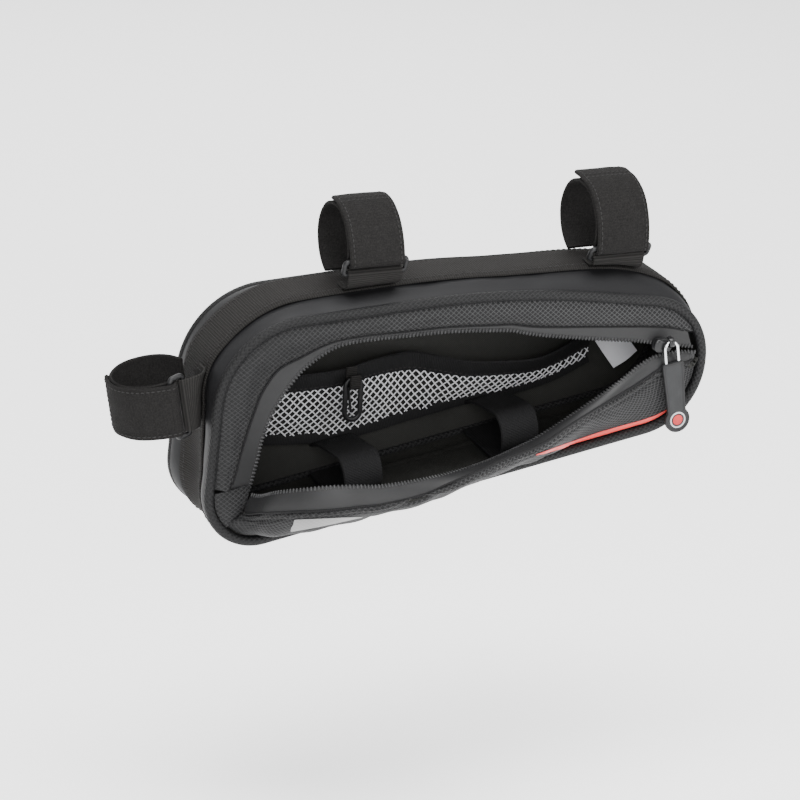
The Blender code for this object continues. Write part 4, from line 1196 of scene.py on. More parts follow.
@dataclass
class RearPanel:
    """The panel on the far side: a low dome, lined inside."""
    form: CaseForm = FORM
    bulge: float = 0.0030
    around: int = 420
    rings: int = 34
    fold_depth: float = 0.0005
    fold_size: float = 0.045
    fold_seed: int = 11

    def build(self) -> None:
        """The dome is bulge times 1 - share^2, with soft waves that die out at the rim."""
        places = OUTLINE.even_places(self.around)
        rim = OUTLINE.at(places, self.form.panel_inset - 2 * self.form.gap)[0]
        middle = rim.mean(axis=0)
        shares = np.linspace(1.0, 0.02, self.rings)
        flat = middle + (rim - middle)[:, None] * shares[None, :, None]
        dome = self.bulge * (1 - shares ** 2)[None, :]
        waves = ripples(flat[..., 0], flat[..., 1], self.fold_size, self.fold_seed)
        waves = waves * self.fold_depth * (1 - shares ** 4)
        outer = placed(flat, self.form.panel_y + dome + np.abs(waves))
        inner = placed(flat, self.form.panel_y - self.form.wall + dome + np.abs(waves))
        rows, columns = outer.shape[:2]
        count = rows * columns
        centre = np.array([[middle[0], y + self.bulge, middle[1]]
                           for y in (self.form.panel_y, self.form.panel_y - self.form.wall)])
        points = np.concatenate([outer.reshape(-1, 3), inner.reshape(-1, 3), centre])
        quads = [quads_of(rows, columns, start, True) for start in (0, count)]
        ring = np.arange(rows) * columns
        after = np.roll(ring, -1)
        fans = [fan(ring + columns - 1, 2 * count), fan(ring + columns - 1 + count, 2 * count + 1)]
        edge = np.stack([ring, after, after + count, ring + count], axis=1)
        faces = [quads[0], quads[1], fans[0], fans[1], edge]
        uvs = [points[group][..., [0, 2]] for group in faces]
        piece = build_mesh("rear_panel_cloth", points, faces, uvs, [0, 1, 0, 1, 0])
        dress(piece, BAG, Finish.RIPSTOP, Finish.LINING, replaces=["rear_panel"])


# The fixed side of the zip, by shares of the bag's length and height: teeth, then the tape's seam
ZIP_ROWS = (
    (0.092, 0.258, 0.058, 0.287), (0.099, 0.308, 0.067, 0.350), (0.108, 0.394, 0.076, 0.434),
    (0.116, 0.479, 0.089, 0.538), (0.131, 0.575, 0.101, 0.621), (0.153, 0.663, 0.115, 0.700),
    (0.184, 0.749, 0.143, 0.782), (0.212, 0.796, 0.183, 0.818), (0.240, 0.830, 0.222, 0.852),
    (0.268, 0.846, 0.258, 0.868), (0.316, 0.846, 0.313, 0.868), (0.374, 0.836, 0.374, 0.858),
    (0.471, 0.818, 0.471, 0.842), (0.571, 0.778, 0.571, 0.808), (0.652, 0.740, 0.650, 0.786),
    (0.775, 0.705, 0.775, 0.785), (0.859, 0.681, 0.859, 0.785), (0.900, 0.655, 0.905, 0.780),
    (0.935, 0.636, 0.934, 0.768), (0.968, 0.618, 0.957, 0.742),
)

# Stations of the flap: rim place; seam along, up, out; zip edge along, up, out; belly
FLAP_ROWS = (
    (5.010, 0.088, 0.170, 0.06, 0.096, 0.255, 0.06, 0.10),
    (4.975, 0.096, 0.200, 0.25, 0.104, 0.272, 0.23, 0.20),
    (4.940, 0.105, 0.236, 0.47, 0.119, 0.325, 0.50, 0.26),
    (4.885, 0.143, 0.263, 0.73, 0.151, 0.358, 0.73, 0.31),
    (4.835, 0.188, 0.268, 0.90, 0.189, 0.368, 0.86, 0.36),
    (4.785, 0.232, 0.261, 0.98, 0.232, 0.355, 0.92, 0.40),
    (4.740, 0.279, 0.240, 1.00, 0.279, 0.328, 0.92, 0.44),
    (4.660, 0.358, 0.226, 0.97, 0.362, 0.288, 0.83, 0.45),
    (4.595, 0.418, 0.228, 0.89, 0.425, 0.260, 0.73, 0.42),
    (4.535, 0.474, 0.240, 0.80, 0.480, 0.243, 0.64, 0.37),
    (4.470, 0.533, 0.236, 0.65, 0.540, 0.226, 0.50, 0.31),
    (4.370, 0.627, 0.225, 0.46, 0.625, 0.222, 0.30, 0.25),
    (4.295, 0.696, 0.272, 0.32, 0.700, 0.284, 0.20, 0.25),
    (4.215, 0.764, 0.325, 0.20, 0.766, 0.359, 0.12, 0.25),
    (4.120, 0.815, 0.375, 0.13, 0.815, 0.440, 0.08, 0.25),
    (3.980, 0.860, 0.430, 0.08, 0.855, 0.520, 0.04, 0.25),
    (3.800, 0.903, 0.500, 0.05, 0.893, 0.582, 0.03, 0.25),
    (3.620, 0.938, 0.512, 0.04, 0.935, 0.592, 0.02, 0.25),
    (3.450, 0.970, 0.500, 0.03, 0.972, 0.588, 0.02, 0.25),
)


def bead(name: str, line: Array, size: float) -> None:
    """A sewn seam as a thin black bead along a line; its black is painted shade for the shadow in the seam's
    groove.
    """
    line = evenly(line, int(lengths_along(line)[-1] / 0.0009))
    piece = sweep(name, line, oval(size, size * 0.8, 8), OUTWARDS)
    dress(piece, BAG, Finish.BINDING)


@dataclass
class ZipChain:
    """One side's row of coil teeth along the edge of its tape."""
    pitch: float = 0.0019
    length: float = 0.0021
    width: float = 0.00095
    height: float = 0.0009
    overhang: float = 0.0004

    def build(self, name: str, edge: Array, inner: Array, normals: Array) -> None:
        """Makes the teeth.

        Args:
            name: The piece's name.
            edge: The tape's edge.
            inner: The tape's next line of points in from the edge.
            normals: The tape's outward normals along the edge.
        """
        steps = lengths_along(edge)
        middles = np.arange(self.pitch / 2, steps[-1], self.pitch)
        spot = at_lengths(edge, middles)
        ahead = at_lengths(edge, np.minimum(middles + self.pitch / 2, steps[-1]))
        along = unit(ahead - at_lengths(edge, np.maximum(middles - self.pitch / 2, 0)))
        away = read_rows(middles, steps, edge - inner)
        up = read_rows(middles, steps, normals)
        away = unit(away - along * (away * along).sum(axis=1, keepdims=True))
        up = unit(np.cross(along, away) * np.sign((np.cross(along, away) * up).sum(axis=1))[:, None])
        points, faces = lozenge(self.length, self.width, self.height, 7, 7,
                                bulge=lambda t: 1 + 0.28 * bell(t, 0.62, 0.3))
        spots = spot + away * (self.overhang - self.length / 2 + 0.0005) + up * self.height * 0.15
        piece = scatter(name, points, faces, spots, np.stack([away, along, up], axis=1))
        dress(piece, BAG, Finish.TEETH)


@dataclass
class FixedFront:
    """The part of the front that stays: padded cloth behind and over the zip, tape and teeth."""
    form: CaseForm = FORM
    stations: int = 380
    bulge: float = 0.0020
    tape_thickness: float = 0.0012
    roll_height: float = 0.0007
    roll_width: float = 0.0016
    groove_depth: float = 0.0004
    groove_place: float = 0.0030
    groove_width: float = 0.0010
    fold_depth: float = 0.00045
    fold_size: float = 0.016
    fold_seed: int = 21

    def lines(self) -> tuple[Array, Array, Array]:
        """The rim, the tape's seam and the teeth line, in the XZ plane, station by station."""
        table = through(np.array(ZIP_ROWS), np.linspace(0, 1, self.stations * 3))
        teeth = OUTLINE.inside(table[:, 0], table[:, 1])
        seam = OUTLINE.inside(table[:, 2], table[:, 3])
        steps = lengths_along(seam)
        wanted = np.linspace(0, steps[-1], self.stations)
        teeth, seam = (read_rows(wanted, steps, line) for line in (teeth, seam))
        places = OUTLINE.nearest(seam)
        kernel = bell(np.arange(-9, 10), 0, 5)
        padded = np.concatenate([np.full(9, places[0]), places, np.full(9, places[-1])])
        places = np.convolve(padded, kernel / kernel.sum(), mode="valid")
        return OUTLINE.at(places, self.form.panel_inset - 2 * self.form.gap)[0], seam, teeth

    def build(self) -> None:
        """Makes and dresses the panel, its tape, teeth and stitches."""
        rim, seam, teeth = self.lines()
        shares = np.linspace(0, 1, 26)
        length = np.linalg.norm(seam - rim, axis=1, keepdims=True)
        flat = rim[:, None] + (seam - rim)[:, None] * (shares * (1 - self.form.gap / length.mean()))[:, None]
        run = lengths_along(seam)[:, None]
        way = length * shares
        height = self.bulge * 4 * shares * (1 - shares)
        rolled = self.roll_height * bell(length - way, self.roll_width, self.roll_width * 0.8)
        groove = self.groove_depth * bell(way, self.groove_place, self.groove_width)
        waves = ripples(run, way, self.fold_size, self.fold_seed) * self.fold_depth
        waves = waves * np.sin(np.pi * shares)
        grid = placed(flat, -self.form.panel_y - height - rolled + groove - waves)
        piece = sewn("front_panel_cloth", grid, self.form.wall, "front_panel", Finish.RIPSTOP,
                     Finish.LINING, side=-1.0, flat_weave=True)
        thread = Stitching()
        thread.row(grid[6:-6, -4], OUTWARDS)
        thread.make("front_panel_stitches")

        spread = np.linspace(0, 1, 9)
        tape = placed(seam[:, None] + (teeth - seam)[:, None] * spread[:, None],
                      -self.form.panel_y + 0.0002 * np.sin(np.pi * spread))
        sewn("zip_tape_upper_cloth", tape, self.tape_thickness, "zip_tape_upper", Finish.TAPE, side=-1.0)
        ZipChain().build("zip_teeth_upper", tape[:, -1], tape[:, -2], -surface_normals(tape)[:, -1])
        # The black beads on the panel's seam and rim are painted shade for the shadow in the seam grooves.
        bead("front_panel_seam_shade", placed(seam[4:-4], -self.form.panel_y - 0.0003), 0.0011)
        bead("front_rim_seam_shade", placed(rim[2:-2], -self.form.panel_y - 0.0002), 0.0010)


@dataclass
class Flap:
    """The freed flap: it hangs open as a pouch, with its tape, teeth, film marks and end patch."""
    form: CaseForm = FORM
    stations: int = 300
    columns: int = 56
    reach: float = 0.048
    belly: float = 0.005
    wall: float = 0.0014
    tape_thickness: float = 0.0011
    tape_width: float = 0.009
    tape_lift: float = 0.0006
    seam_roll: float = 0.0008
    roll_place: float = 0.0018
    roll_width: float = 0.0013
    seam_groove: float = 0.0005
    groove_place: float = 0.0044
    groove_width: float = 0.0010
    fold_depth: float = 0.0008
    fold_size: float = 0.030
    fold_seed: int = 31
    flat: tuple[float, float] = (0.285, 0.062)
    sag_frames: int = 20
    sag_cap: float = 0.0009
    patch_above: float = 0.016
    patch_below: float = 0.004
    patch_reach: float = 0.92
    patch_puff: float = 0.0016
    patch_ridge: float = 0.0006
    patch_cloth: float = 0.0012

    def stations_table(self) -> Array:
        """The flap's table read at every station."""
        return through(np.array(FLAP_ROWS), np.linspace(0, 1, self.stations))

    def surface(self, table: Array, shares: Array) -> Array:
        """The flap from the rim to its seam.

        Each row is a cubic curve from root to seam: its first handle points outwards and its
        second stands belly proud of the seam and as low as the root, so that the cloth sags and
        curls up again.

        Args:
            table: The flap's table, a row for each station.
            shares: Places from root to seam.

        Returns:
            Points of the flap's inner face, stations by shares.
        """
        root = placed(OUTLINE.at(table[:, 0] % Outline.CORNERS,
                                 self.form.panel_inset + self.form.wall)[0],
                      self.form.wall - self.form.panel_y)
        seam = self.seam(table)
        reach = (root[:, 1] - seam[:, 1])[:, None]
        out = reach / self.reach
        rise = table[:, 7:8]
        first = root + (seam - root) * np.array([0.2, 0.0, 0.3]) * (1 - out) + OUTWARDS * reach * 0.5
        second = (seam * np.array([1.0, 1.0, 0.0]) + OUTWARDS * self.belly * out
                  + UPWARDS * (root[:, 2:] + rise * reach) * out
                  + UPWARDS * (root[:, 2:] + (seam - root)[:, 2:] * 0.7) * (1 - out))
        s = np.asarray(shares)[None, :, None]
        root, first, second, seam = (part[:, None] for part in (root, first, second, seam))
        return ((1 - s) ** 3 * root + 3 * s * (1 - s) ** 2 * first
                + 3 * s ** 2 * (1 - s) * second + s ** 3 * seam)

    def seam(self, table: Array) -> Array:
        """The line on which the tape is sewn to the flap."""
        return placed(OUTLINE.inside(table[:, 1], table[:, 2]),
                      -self.form.panel_y - table[:, 3] * self.reach)

    def edge(self, table: Array) -> Array:
        """The tape's free edge, on which the teeth sit."""
        return placed(OUTLINE.inside(table[:, 4], table[:, 5]),
                      -self.form.panel_y - table[:, 6] * self.reach)

    def cut_area(self, table: Array) -> float:
        """The flap's area with the bag shut: from the rim up to the tape under the fixed teeth.

        Half the sum of x1 z2 - x2 z1 round the closed line.
        """
        rim = OUTLINE.at(table[:, 0] % Outline.CORNERS, self.form.panel_inset)[0]
        rows = through(np.array(ZIP_ROWS), np.linspace(0, 1, self.stations))
        upper = OUTLINE.inside(rows[:, 0], rows[:, 1]) - np.array([0.0, self.tape_width])
        line = np.concatenate([rim, upper[::-1]])
        after = np.roll(line, -1, axis=0)
        return float(abs((line[:, 0] * after[:, 1] - after[:, 0] * line[:, 1]).sum()) / 2)

    def build(self) -> None:
        """Makes and dresses every piece of the flap."""
        table = self.stations_table()
        shares = np.linspace(0, 1, self.columns)
        inner = self.surface(table, shares)
        normals = surface_normals(inner)
        outer = inner + normals * self.wall
        run = lengths_along(outer[:, self.columns // 2])[:, None]
        way = np.cumsum(np.linalg.norm(np.diff(outer, axis=1, prepend=outer[:, :1]), axis=2), axis=1)
        free = np.sin(np.pi * shares)[None, :]
        waves = ripples(run, way, self.fold_size, self.fold_seed) * self.fold_depth * free
        outer = outer + normals * waves[..., None]
        outer = settled(outer, self.sag_frames, self.sag_cap)
        normals = surface_normals(outer)
        from_seam = way[:, -1:] - way
        roll = bell(from_seam, self.roll_place, self.roll_width) * self.seam_roll
        groove = bell(from_seam, self.groove_place, self.groove_width) * self.seam_groove
        outer = outer + normals * (roll - groove)[..., None]
        piece = sewn("front_flap_cloth", outer, self.wall, "front_flap", Finish.RIPSTOP, Finish.LINING,
                     side=1.0)
        self.cut_area(table)
        thread = Stitching()
        column = self.columns - 5
        thread.row(outer[8:-4, column], normals[8:-4, column])
        thread.make("front_flap_stitches")

        seam, edge = outer[:, -1], self.edge(table)
        spread = np.linspace(0, 1, 13)
        tape = seam[:, None] + (edge - seam)[:, None] * spread[:, None]
        across = surface_normals(tape)
        tape = tape + across * (self.tape_lift * (1 + np.sin(np.pi * spread)))[:, None]
        sewn("zip_tape_lower_cloth", tape, self.tape_thickness, "zip_tape_lower", Finish.TAPE, side=1.0)
        ZipChain().build("zip_teeth_lower", tape[:, -1], tape[:, -2], surface_normals(tape)[:, -1])
        # The black bead on the flap's seam is painted shade for the shadow in its groove.
        bead("flap_seam_shade", outer[3:-3, -1] + across[3:-3, 0] * 0.0009, 0.0012)
        FilmMarks().build(outer, Studio())
        self.build_end_patch(table)

    def build_end_patch(self, table: Array) -> None:
        """The patch over the zip's lower end: a puffed fold of cloth from the rim inwards."""
        start = float(OUTLINE.nearest(OUTLINE.inside(ZIP_ROWS[0][2], ZIP_ROWS[0][3]))[0])
        last = float(table[0, 0] % Outline.CORNERS)
        places = np.linspace(start - self.patch_above, last + self.patch_below, 40)
        rim = OUTLINE.at(places, self.form.panel_inset)[0]
        spread = np.linspace(0, 1, len(places))[:, None]
        high = OUTLINE.inside(table[0, 4] + 0.006, table[0, 5] + 0.040)
        low = OUTLINE.inside(table[0, 1], table[0, 2])
        inner = high + (low - high) * spread
        shares = np.linspace(0, self.patch_reach, 24)
        flat = rim[:, None] + (inner - rim)[:, None] * shares[:, None]
        puff = (self.patch_puff * np.sin(np.pi * shares) ** 0.7
                + self.patch_ridge * bell(spread, 0.5, 0.25) * shares)
        puff = puff * np.sin(np.pi * np.clip(spread, 0.16, 0.97)) ** 0.5
        grid = placed(flat, -self.form.panel_y - 0.0002 - puff)
        sewn("zip_end_patch_cloth", grid, self.patch_cloth, "zip_end_patch", Finish.RIPSTOP, Finish.LINING,
             flat_weave=True)
        thread = Stitching()
        thread.row(grid[2:-2, 20], OUTWARDS)
        thread.make("end_patch_stitches")


def blurred(values: Array, axis: int, reach: float) -> Array:
    """A running mean along one axis with a bell's weights; reach is in grid steps."""
    side = int(reach * 2.5)
    weights = bell(np.arange(-side, side + 1), 0, reach)
    weights /= weights.sum()
    width = [(side, side) if k == axis else (0, 0) for k in range(values.ndim)]
    padded = np.pad(values, width, mode="edge")
    count = values.shape[axis]
    return sum(weight * np.take(padded, np.arange(k, k + count), axis=axis)
               for k, weight in enumerate(weights))


CLOTH_SETTINGS = {
    "quality": 6, "mass": 0.00005, "tension_stiffness": 12, "compression_stiffness": 12,
    "shear_stiffness": 6, "bending_stiffness": 0.02, "shrink_min": -0.020,
}


def settled(grid: Array, frames: int, cap: float) -> Array:
    """Lets a sheet of cloth sag a little between its fixed edges.

    A copy of the grid is simulated under gravity with its four edges pinned and its cloth cut a
    little long, and no point moves further than the cap.

    Args:
        grid: Points, rows by columns.
        frames: How long it sags.
        cap: The furthest that a point may move, in metres.

    Returns:
        The settled points in the same order.
    """
    rows, columns = grid.shape[:2]
    mesh = bpy.data.meshes.new("settling")
    mesh.from_pydata([tuple(point) for point in grid.reshape(-1, 3)], [],
                     [tuple(quad) for quad in quads_of(rows, columns, 0)])
    sheet = bpy.data.objects.new("settling", mesh)
    bpy.context.scene.collection.objects.link(sheet)
    held = np.zeros((rows, columns), dtype=bool)
    held[[0, 1, -2, -1]] = True
    held[:, [0, 1, -2, -1]] = True
    pins = sheet.vertex_groups.new(name="pins")
    pins.add([int(k) for k in np.flatnonzero(held)], 1.0, "REPLACE")
    simulation = sheet.modifiers.new("settle", "CLOTH")
    simulation.settings.vertex_group_mass = "pins"
    for name, value in CLOTH_SETTINGS.items():
        setattr(simulation.settings, name, value)
    simulation.point_cache.frame_start = 1
    simulation.point_cache.frame_end = frames
    scene = bpy.context.scene
    for number in range(1, frames + 1):
        scene.frame_set(number)
    shaped = sheet.evaluated_get(bpy.context.evaluated_depsgraph_get())
    spots = np.zeros(rows * columns * 3, dtype=np.float32)
    shaped.data.vertices.foreach_get("co", spots)
    scene.frame_set(1)
    bpy.data.objects.remove(sheet, do_unlink=True)
    moved = spots.reshape(grid.shape) - grid
    for axis, reach in ((0, 6.0), (1, 2.5)):
        moved = blurred(moved, axis, reach)
    far = np.linalg.norm(moved, axis=2, keepdims=True)
    return grid + moved * np.minimum(1.0, cap / np.maximum(far, 1e-9))


@dataclass
class FilmMarks:
    """The reflective corner and the red stripe printed on the flap, as thin film.

    Their tables hold pixels of the 800 by 800 picture; each place is carried onto the flap, where
    a station's line from rim to seam crosses it, so that the film lies on the cloth. The stripe's
    rows are column, row and width; corner_left's are row and minus the column.
    """
    lift: float = 0.00022
    film: float = 0.00012
    stripe: tuple[tuple[float, float, float], ...] = (
        (533, 455.7, 0.4), (545, 452.2, 2.2), (560, 447.2, 3.4), (580, 440.6, 4.2),
        (600, 434.0, 4.6), (620, 428.3, 4.8), (640, 423.0, 4.8), (655, 417.6, 4.2),
        (668, 409.8, 1.8))
    corner_top: tuple[tuple[float, float], ...] = ((291, 524.0), (293, 521.0), (296, 519.5),
                                                   (320, 518.6), (345, 517.3), (364, 516.6))
    corner_low: tuple[tuple[float, float], ...] = ((285, 532.5), (292, 531.5), (320, 526.5),
                                                   (345, 521.0), (364, 516.8))
    corner_left: tuple[tuple[float, float], ...] = ((510.0, -296.0), (535.0, -289.5))
    corner_least: float = 0.012

    def build(self, flap: Array, camera: Studio) -> None:
        """Lays both marks on the flap's outer face.

        Args:
            flap: The flap's outer face, stations by shares.
            camera: The studio whose view the tables are read in.
        """
        normals = surface_normals(flap)
        picture = camera.picture(flap)
        stripe = np.array(self.stripe)
        rows = self.rows_between(picture, stripe[0, 0], stripe[-1, 0])
        columns = []
        for share in np.linspace(-0.5, 0.5, 7):
            line = np.stack([stripe[:, 0], stripe[:, 1] - share * stripe[:, 2]], axis=1)
            columns.append(self.crossing(picture[rows], line))
        across = np.stack(columns, axis=1)
        self.lay("red_stripe", flap, normals, rows, across, Finish.STRIPE)
        top = np.array(self.corner_top)
        rows = self.rows_between(picture, top[0, 0], top[-1, 0])
        seen = picture[rows]
        swapped = np.stack([seen[..., 1], -seen[..., 0]], axis=-1)
        high = self.crossing(seen, top)
        low = np.maximum(self.crossing(seen, np.array(self.corner_low)),
                         self.crossing(swapped, np.array(self.corner_left)))
        rows, high, low = (part[high - low > self.corner_least] for part in (rows, high, low))
        across = low[:, None] + (high - low)[:, None] * np.linspace(0, 1, 14)
        self.lay("silver_corner", flap, normals, rows, across, Finish.SILVER)

    def rows_between(self, picture: Array, left: float, right: float) -> Array:
        """Numbers of the stations whose line near the seam lies between two pixel columns."""
        x = picture[:, int(picture.shape[1] * 0.7), 0]
        return np.flatnonzero((x >= left) & (x <= right))

    def crossing(self, picture: Array, line: Array) -> Array:
        """Where each station's line crosses a line of the picture, as a share from rim to seam.

        Rows of the picture count downwards, so the height over the line changes sign there.
        """
        above = np.interp(picture[..., 0], line[:, 0], line[:, 1]) - picture[..., 1]
        crossed = (above[:, :-1] < 0) & (above[:, 1:] >= 0)
        first = np.argmax(crossed, axis=1)
        k = np.arange(len(above))
        part = above[k, first] / (above[k, first] - above[k, first + 1])
        return (first + np.where(crossed.any(axis=1), np.clip(part, 0, 1), 0)) / (above.shape[1] - 1)

    def lay(self, name: str, flap: Array, normals: Array, rows: Array, across: Array,
            finish: Finish) -> None:
        """One mark: the flap's face read between its points, and lifted off it."""
        columns = flap.shape[1]
        j = np.clip(across, 0, 1) * (columns - 1)
        j0 = np.minimum(j.astype(int), columns - 2)
        part = (j - j0)[..., None]
        raised = flap + normals * self.lift
        i = rows[:, None]
        grid = raised[i, j0] * (1 - part) + raised[i, j0 + 1] * part
        piece = cloth(name, grid, self.film, round_edges=False)
        dress(piece, BAG, finish, finish)


@dataclass
class Slider:
    """The zip's slider: two flanges with a waist, and a bridge that holds the pull's wire."""
    form: CaseForm = FORM
    length: float = 0.0100
    width: float = 0.0080
    depth: float = 0.0045
    eye: float = 0.0032
    eye_wall: float = 0.0012
    eye_length: float = 0.0026

    def teeth_point(self, row: float) -> Array:
        """A point on the fixed teeth at a row of the zip's table."""
        table = through(np.array(ZIP_ROWS), np.array([row / (len(ZIP_ROWS) - 1)]))[0]
        return placed(OUTLINE.inside(table[0], table[1]), -self.form.panel_y)

    def hinge(self) -> tuple[Array, Array, Array]:
        """The pull's hinge point, its axis and the way it hangs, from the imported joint."""
        joint = frame["joints"][0]
        axis = -np.array(joint["axis"], dtype=float)
        down = np.array([axis[2], 0.0, -axis[0]])
        return np.array(joint["pos_m"], dtype=float), axis, down

    def build(self) -> None:
        """Makes and dresses the slider."""
        hinge, axis, down = self.hinge()
        centre = self.teeth_point(17)
        way = unit(self.teeth_point(18) - self.teeth_point(16))
        across = np.cross(way, OUTWARDS)
        angle = math.tau * np.arange(48) / 48
        nose = 1 - 0.22 * (1 + np.cos(angle)) / 2
        round_x = np.sign(np.cos(angle)) * np.abs(np.cos(angle)) ** 0.7 * self.length / 2
        round_y = np.sign(np.sin(angle)) * np.abs(np.sin(angle)) ** 0.7 * self.width / 2 * nose
        profile = np.array([(0.0, 0.04), (0.90, 0.04), (0.99, 0.10), (1.00, 0.22), (0.96, 0.32),
                            (0.80, 0.36), (0.78, 0.50), (0.80, 0.62), (0.96, 0.66), (1.00, 0.76),
                            (0.99, 0.88), (0.90, 0.97), (0.55, 1.02), (0.0, 1.04)])
        ring = round_x[:, None] * way + round_y[:, None] * across
        grid = (centre + profile[1:-1, 0][:, None, None] * ring[None]
                + (OUTWARDS * self.depth) * profile[1:-1, 1][:, None, None])
        rows, columns = grid.shape[:2]
        ends = centre + OUTWARDS * self.depth * profile[[0, -1], 1][:, None]
        ring = np.arange(columns)
        total = rows * columns
        fans = [fan(ring, total), fan(total - columns + ring, total + 1)]
        points = np.concatenate([grid.reshape(-1, 3), ends])
        body = build_mesh("slider_body", points, [quads_of(rows, columns, 0, False, True), *fans])
        dress(body, BAG, Finish.SLIDER, replaces=["zip_slider"])
        middle = self.eye / 2 + self.eye_wall / 2
        turn = np.linspace(-0.12, 1.12, 25) * math.pi
        path = (hinge + down * (middle * -np.cos(turn))[:, None]
                + OUTWARDS * (middle * np.sin(turn))[:, None])
        feet = np.stack([path[0] - OUTWARDS * self.eye_wall, path[-1] - OUTWARDS * self.eye_wall])
        path = np.concatenate([feet[:1], path, feet[1:]])
        bridge = sweep("slider_bridge", path, oval(self.eye_wall, self.eye_length, 14, 0.6), axis)
        dress(bridge, BAG, Finish.SLIDER)


@dataclass
class Pull:
    """The swinging pull: a bright wire loop and a rubber tab with a plain round end."""
    wire: float = 0.0016
    loop_width: float = 0.0072
    loop_leg: float = 0.0075
    gap: float = 0.0003
    tab_length: float = 0.0395
    top_width: float = 0.0123
    waist_width: float = 0.0105
    end_diameter: float = 0.0140
    thickness: float = 0.0022
    collar: float = 0.0012
    ring_radius: float = 0.0040
    ring_bar: float = 0.0009
    dome_radius: float = 0.0028
    dome_curve: float = 0.0029
    dome_height: float = 0.0007

    def build(self, slider: Slider) -> None:
        """Makes and dresses the loop, the tab and the button in its round end."""
        hinge, axis, down = slider.hinge()
        bend = self.loop_width / 2
        arch = hinge + down * bend
        angle = np.linspace(0, math.pi, 33)
        leg = np.linspace(1, 0.06, 12)[:, None]
        left = arch + down * self.loop_leg * leg - axis * bend
        right = arch + down * self.loop_leg * leg[::-1] + axis * bend
        bow = arch - axis * bend * np.cos(angle)[:, None] - down * bend * np.sin(angle)[:, None]
        path = np.concatenate([left, bow, right])
        loop = sweep("pull_wire", path, oval(self.wire, self.wire, 14), OUTWARDS)
        dress(loop, PULLER, Finish.WIRE, replaces=["pull_loop"])
        top = arch + down * (self.loop_leg + self.gap) - OUTWARDS * self.thickness / 2
        self.build_tab(top, axis, down)
        self.build_button(top + down * (self.tab_length - self.end_diameter / 2)
                          + OUTWARDS * self.thickness, axis, down)

    def outline(self) -> Array:
        """The tab's outline: along it, then across; a tapering bar that ends in a round."""
        waist = self.tab_length - self.end_diameter
        top = self.top_width / 2
        half = [(0.0, top - self.collar), (self.collar * 0.3, top - self.collar * 0.3),
                (self.collar, top), (waist * 0.5, (self.top_width + self.waist_width) / 4),
                (waist * 0.88, self.waist_width / 2)]
        radius = self.end_diameter / 2
        for turn in np.radians(np.linspace(48, 180, 16)):
            half.append((self.tab_length - radius - radius * math.cos(turn), radius * math.sin(turn)))
        side = evenly(np.array(half), 70)
        return np.concatenate([side, side[-2::-1] * np.array([1.0, -1.0])])

    def build_tab(self, top: Array, axis: Array, down: Array) -> None:
        """The tab's rings step in and up from its back face to a rim and a sunk front face."""
        line = self.outline()
        tangent = unit(np.roll(line, -1, axis=0) - np.roll(line, 1, axis=0))
        inward = np.stack([tangent[:, 1], -tangent[:, 0]], axis=1)
        toward = (line.mean(axis=0) - line)
        inward = inward * np.sign((inward * toward).sum(axis=1))[:, None]
        rings = [(0.0016, 0.0), (0.0005, 0.0), (0.00015, 0.00015), (0.0, 0.0005), (0.0, 0.0017),
                 (0.00015, 0.00205), (0.0005, 0.0022), (0.0011, 0.0022), (0.0014, 0.00205),
                 (0.0016, 0.0019)]
        grid = []
        for inset, height in rings:
            flat = line + inward * inset
            grid.append(top + down * flat[:, :1] + axis * flat[:, 1:] + OUTWARDS * height)
        grid = np.stack(grid)
        rows, columns = grid.shape[:2]
        faces = [quads_of(rows, columns, 0, False, True),
                 np.arange(columns)[None, :], ((rows - 1) * columns + np.arange(columns))[None, :]]
        piece = build_mesh("pull_grip", grid.reshape(-1, 3), faces, slots=[0, 0, 1])
        dress(piece, PULLER, Finish.RUBBER_DARK, Finish.RUBBER, replaces=["pull_tab"])

    def build_button(self, centre: Array, axis: Array, down: Array) -> None:
        """A plain raised ring with a red dome in it, in the tab's round end."""
        turn = math.tau * np.arange(48) / 48
        around = axis * np.cos(turn)[:, None] + down * np.sin(turn)[:, None]
        ring = centre + self.ring_radius * around - OUTWARDS * 0.0002
        piece = sweep("grip_ring", ring, oval(self.ring_bar, self.ring_bar, 10), OUTWARDS,
                      closed=True)
        dress(piece, PULLER, Finish.PALE_RUBBER)
        radius = np.linspace(self.dome_radius, 0.0, 9)[:-1]
        height = self.dome_height * np.sqrt(1 - (radius / self.dome_curve) ** 2) - 0.0003
        grid = centre + radius[:, None, None] * around[None] + OUTWARDS * height[:, None, None]
        base = centre + radius[0] * around - OUTWARDS * 0.0006
        points = np.concatenate([base, grid.reshape(-1, 3), (centre + OUTWARDS * 0.0004)[None]])
        rows, columns = len(radius) + 1, len(turn)
        ring = np.arange(columns)
        faces = [quads_of(rows, columns, 0, False, True), ring[None, :],
                 fan((rows - 1) * columns + ring, rows * columns)]
        piece = build_mesh("grip_button", points, faces)
        dress(piece, PULLER, Finish.RED_RUBBER)


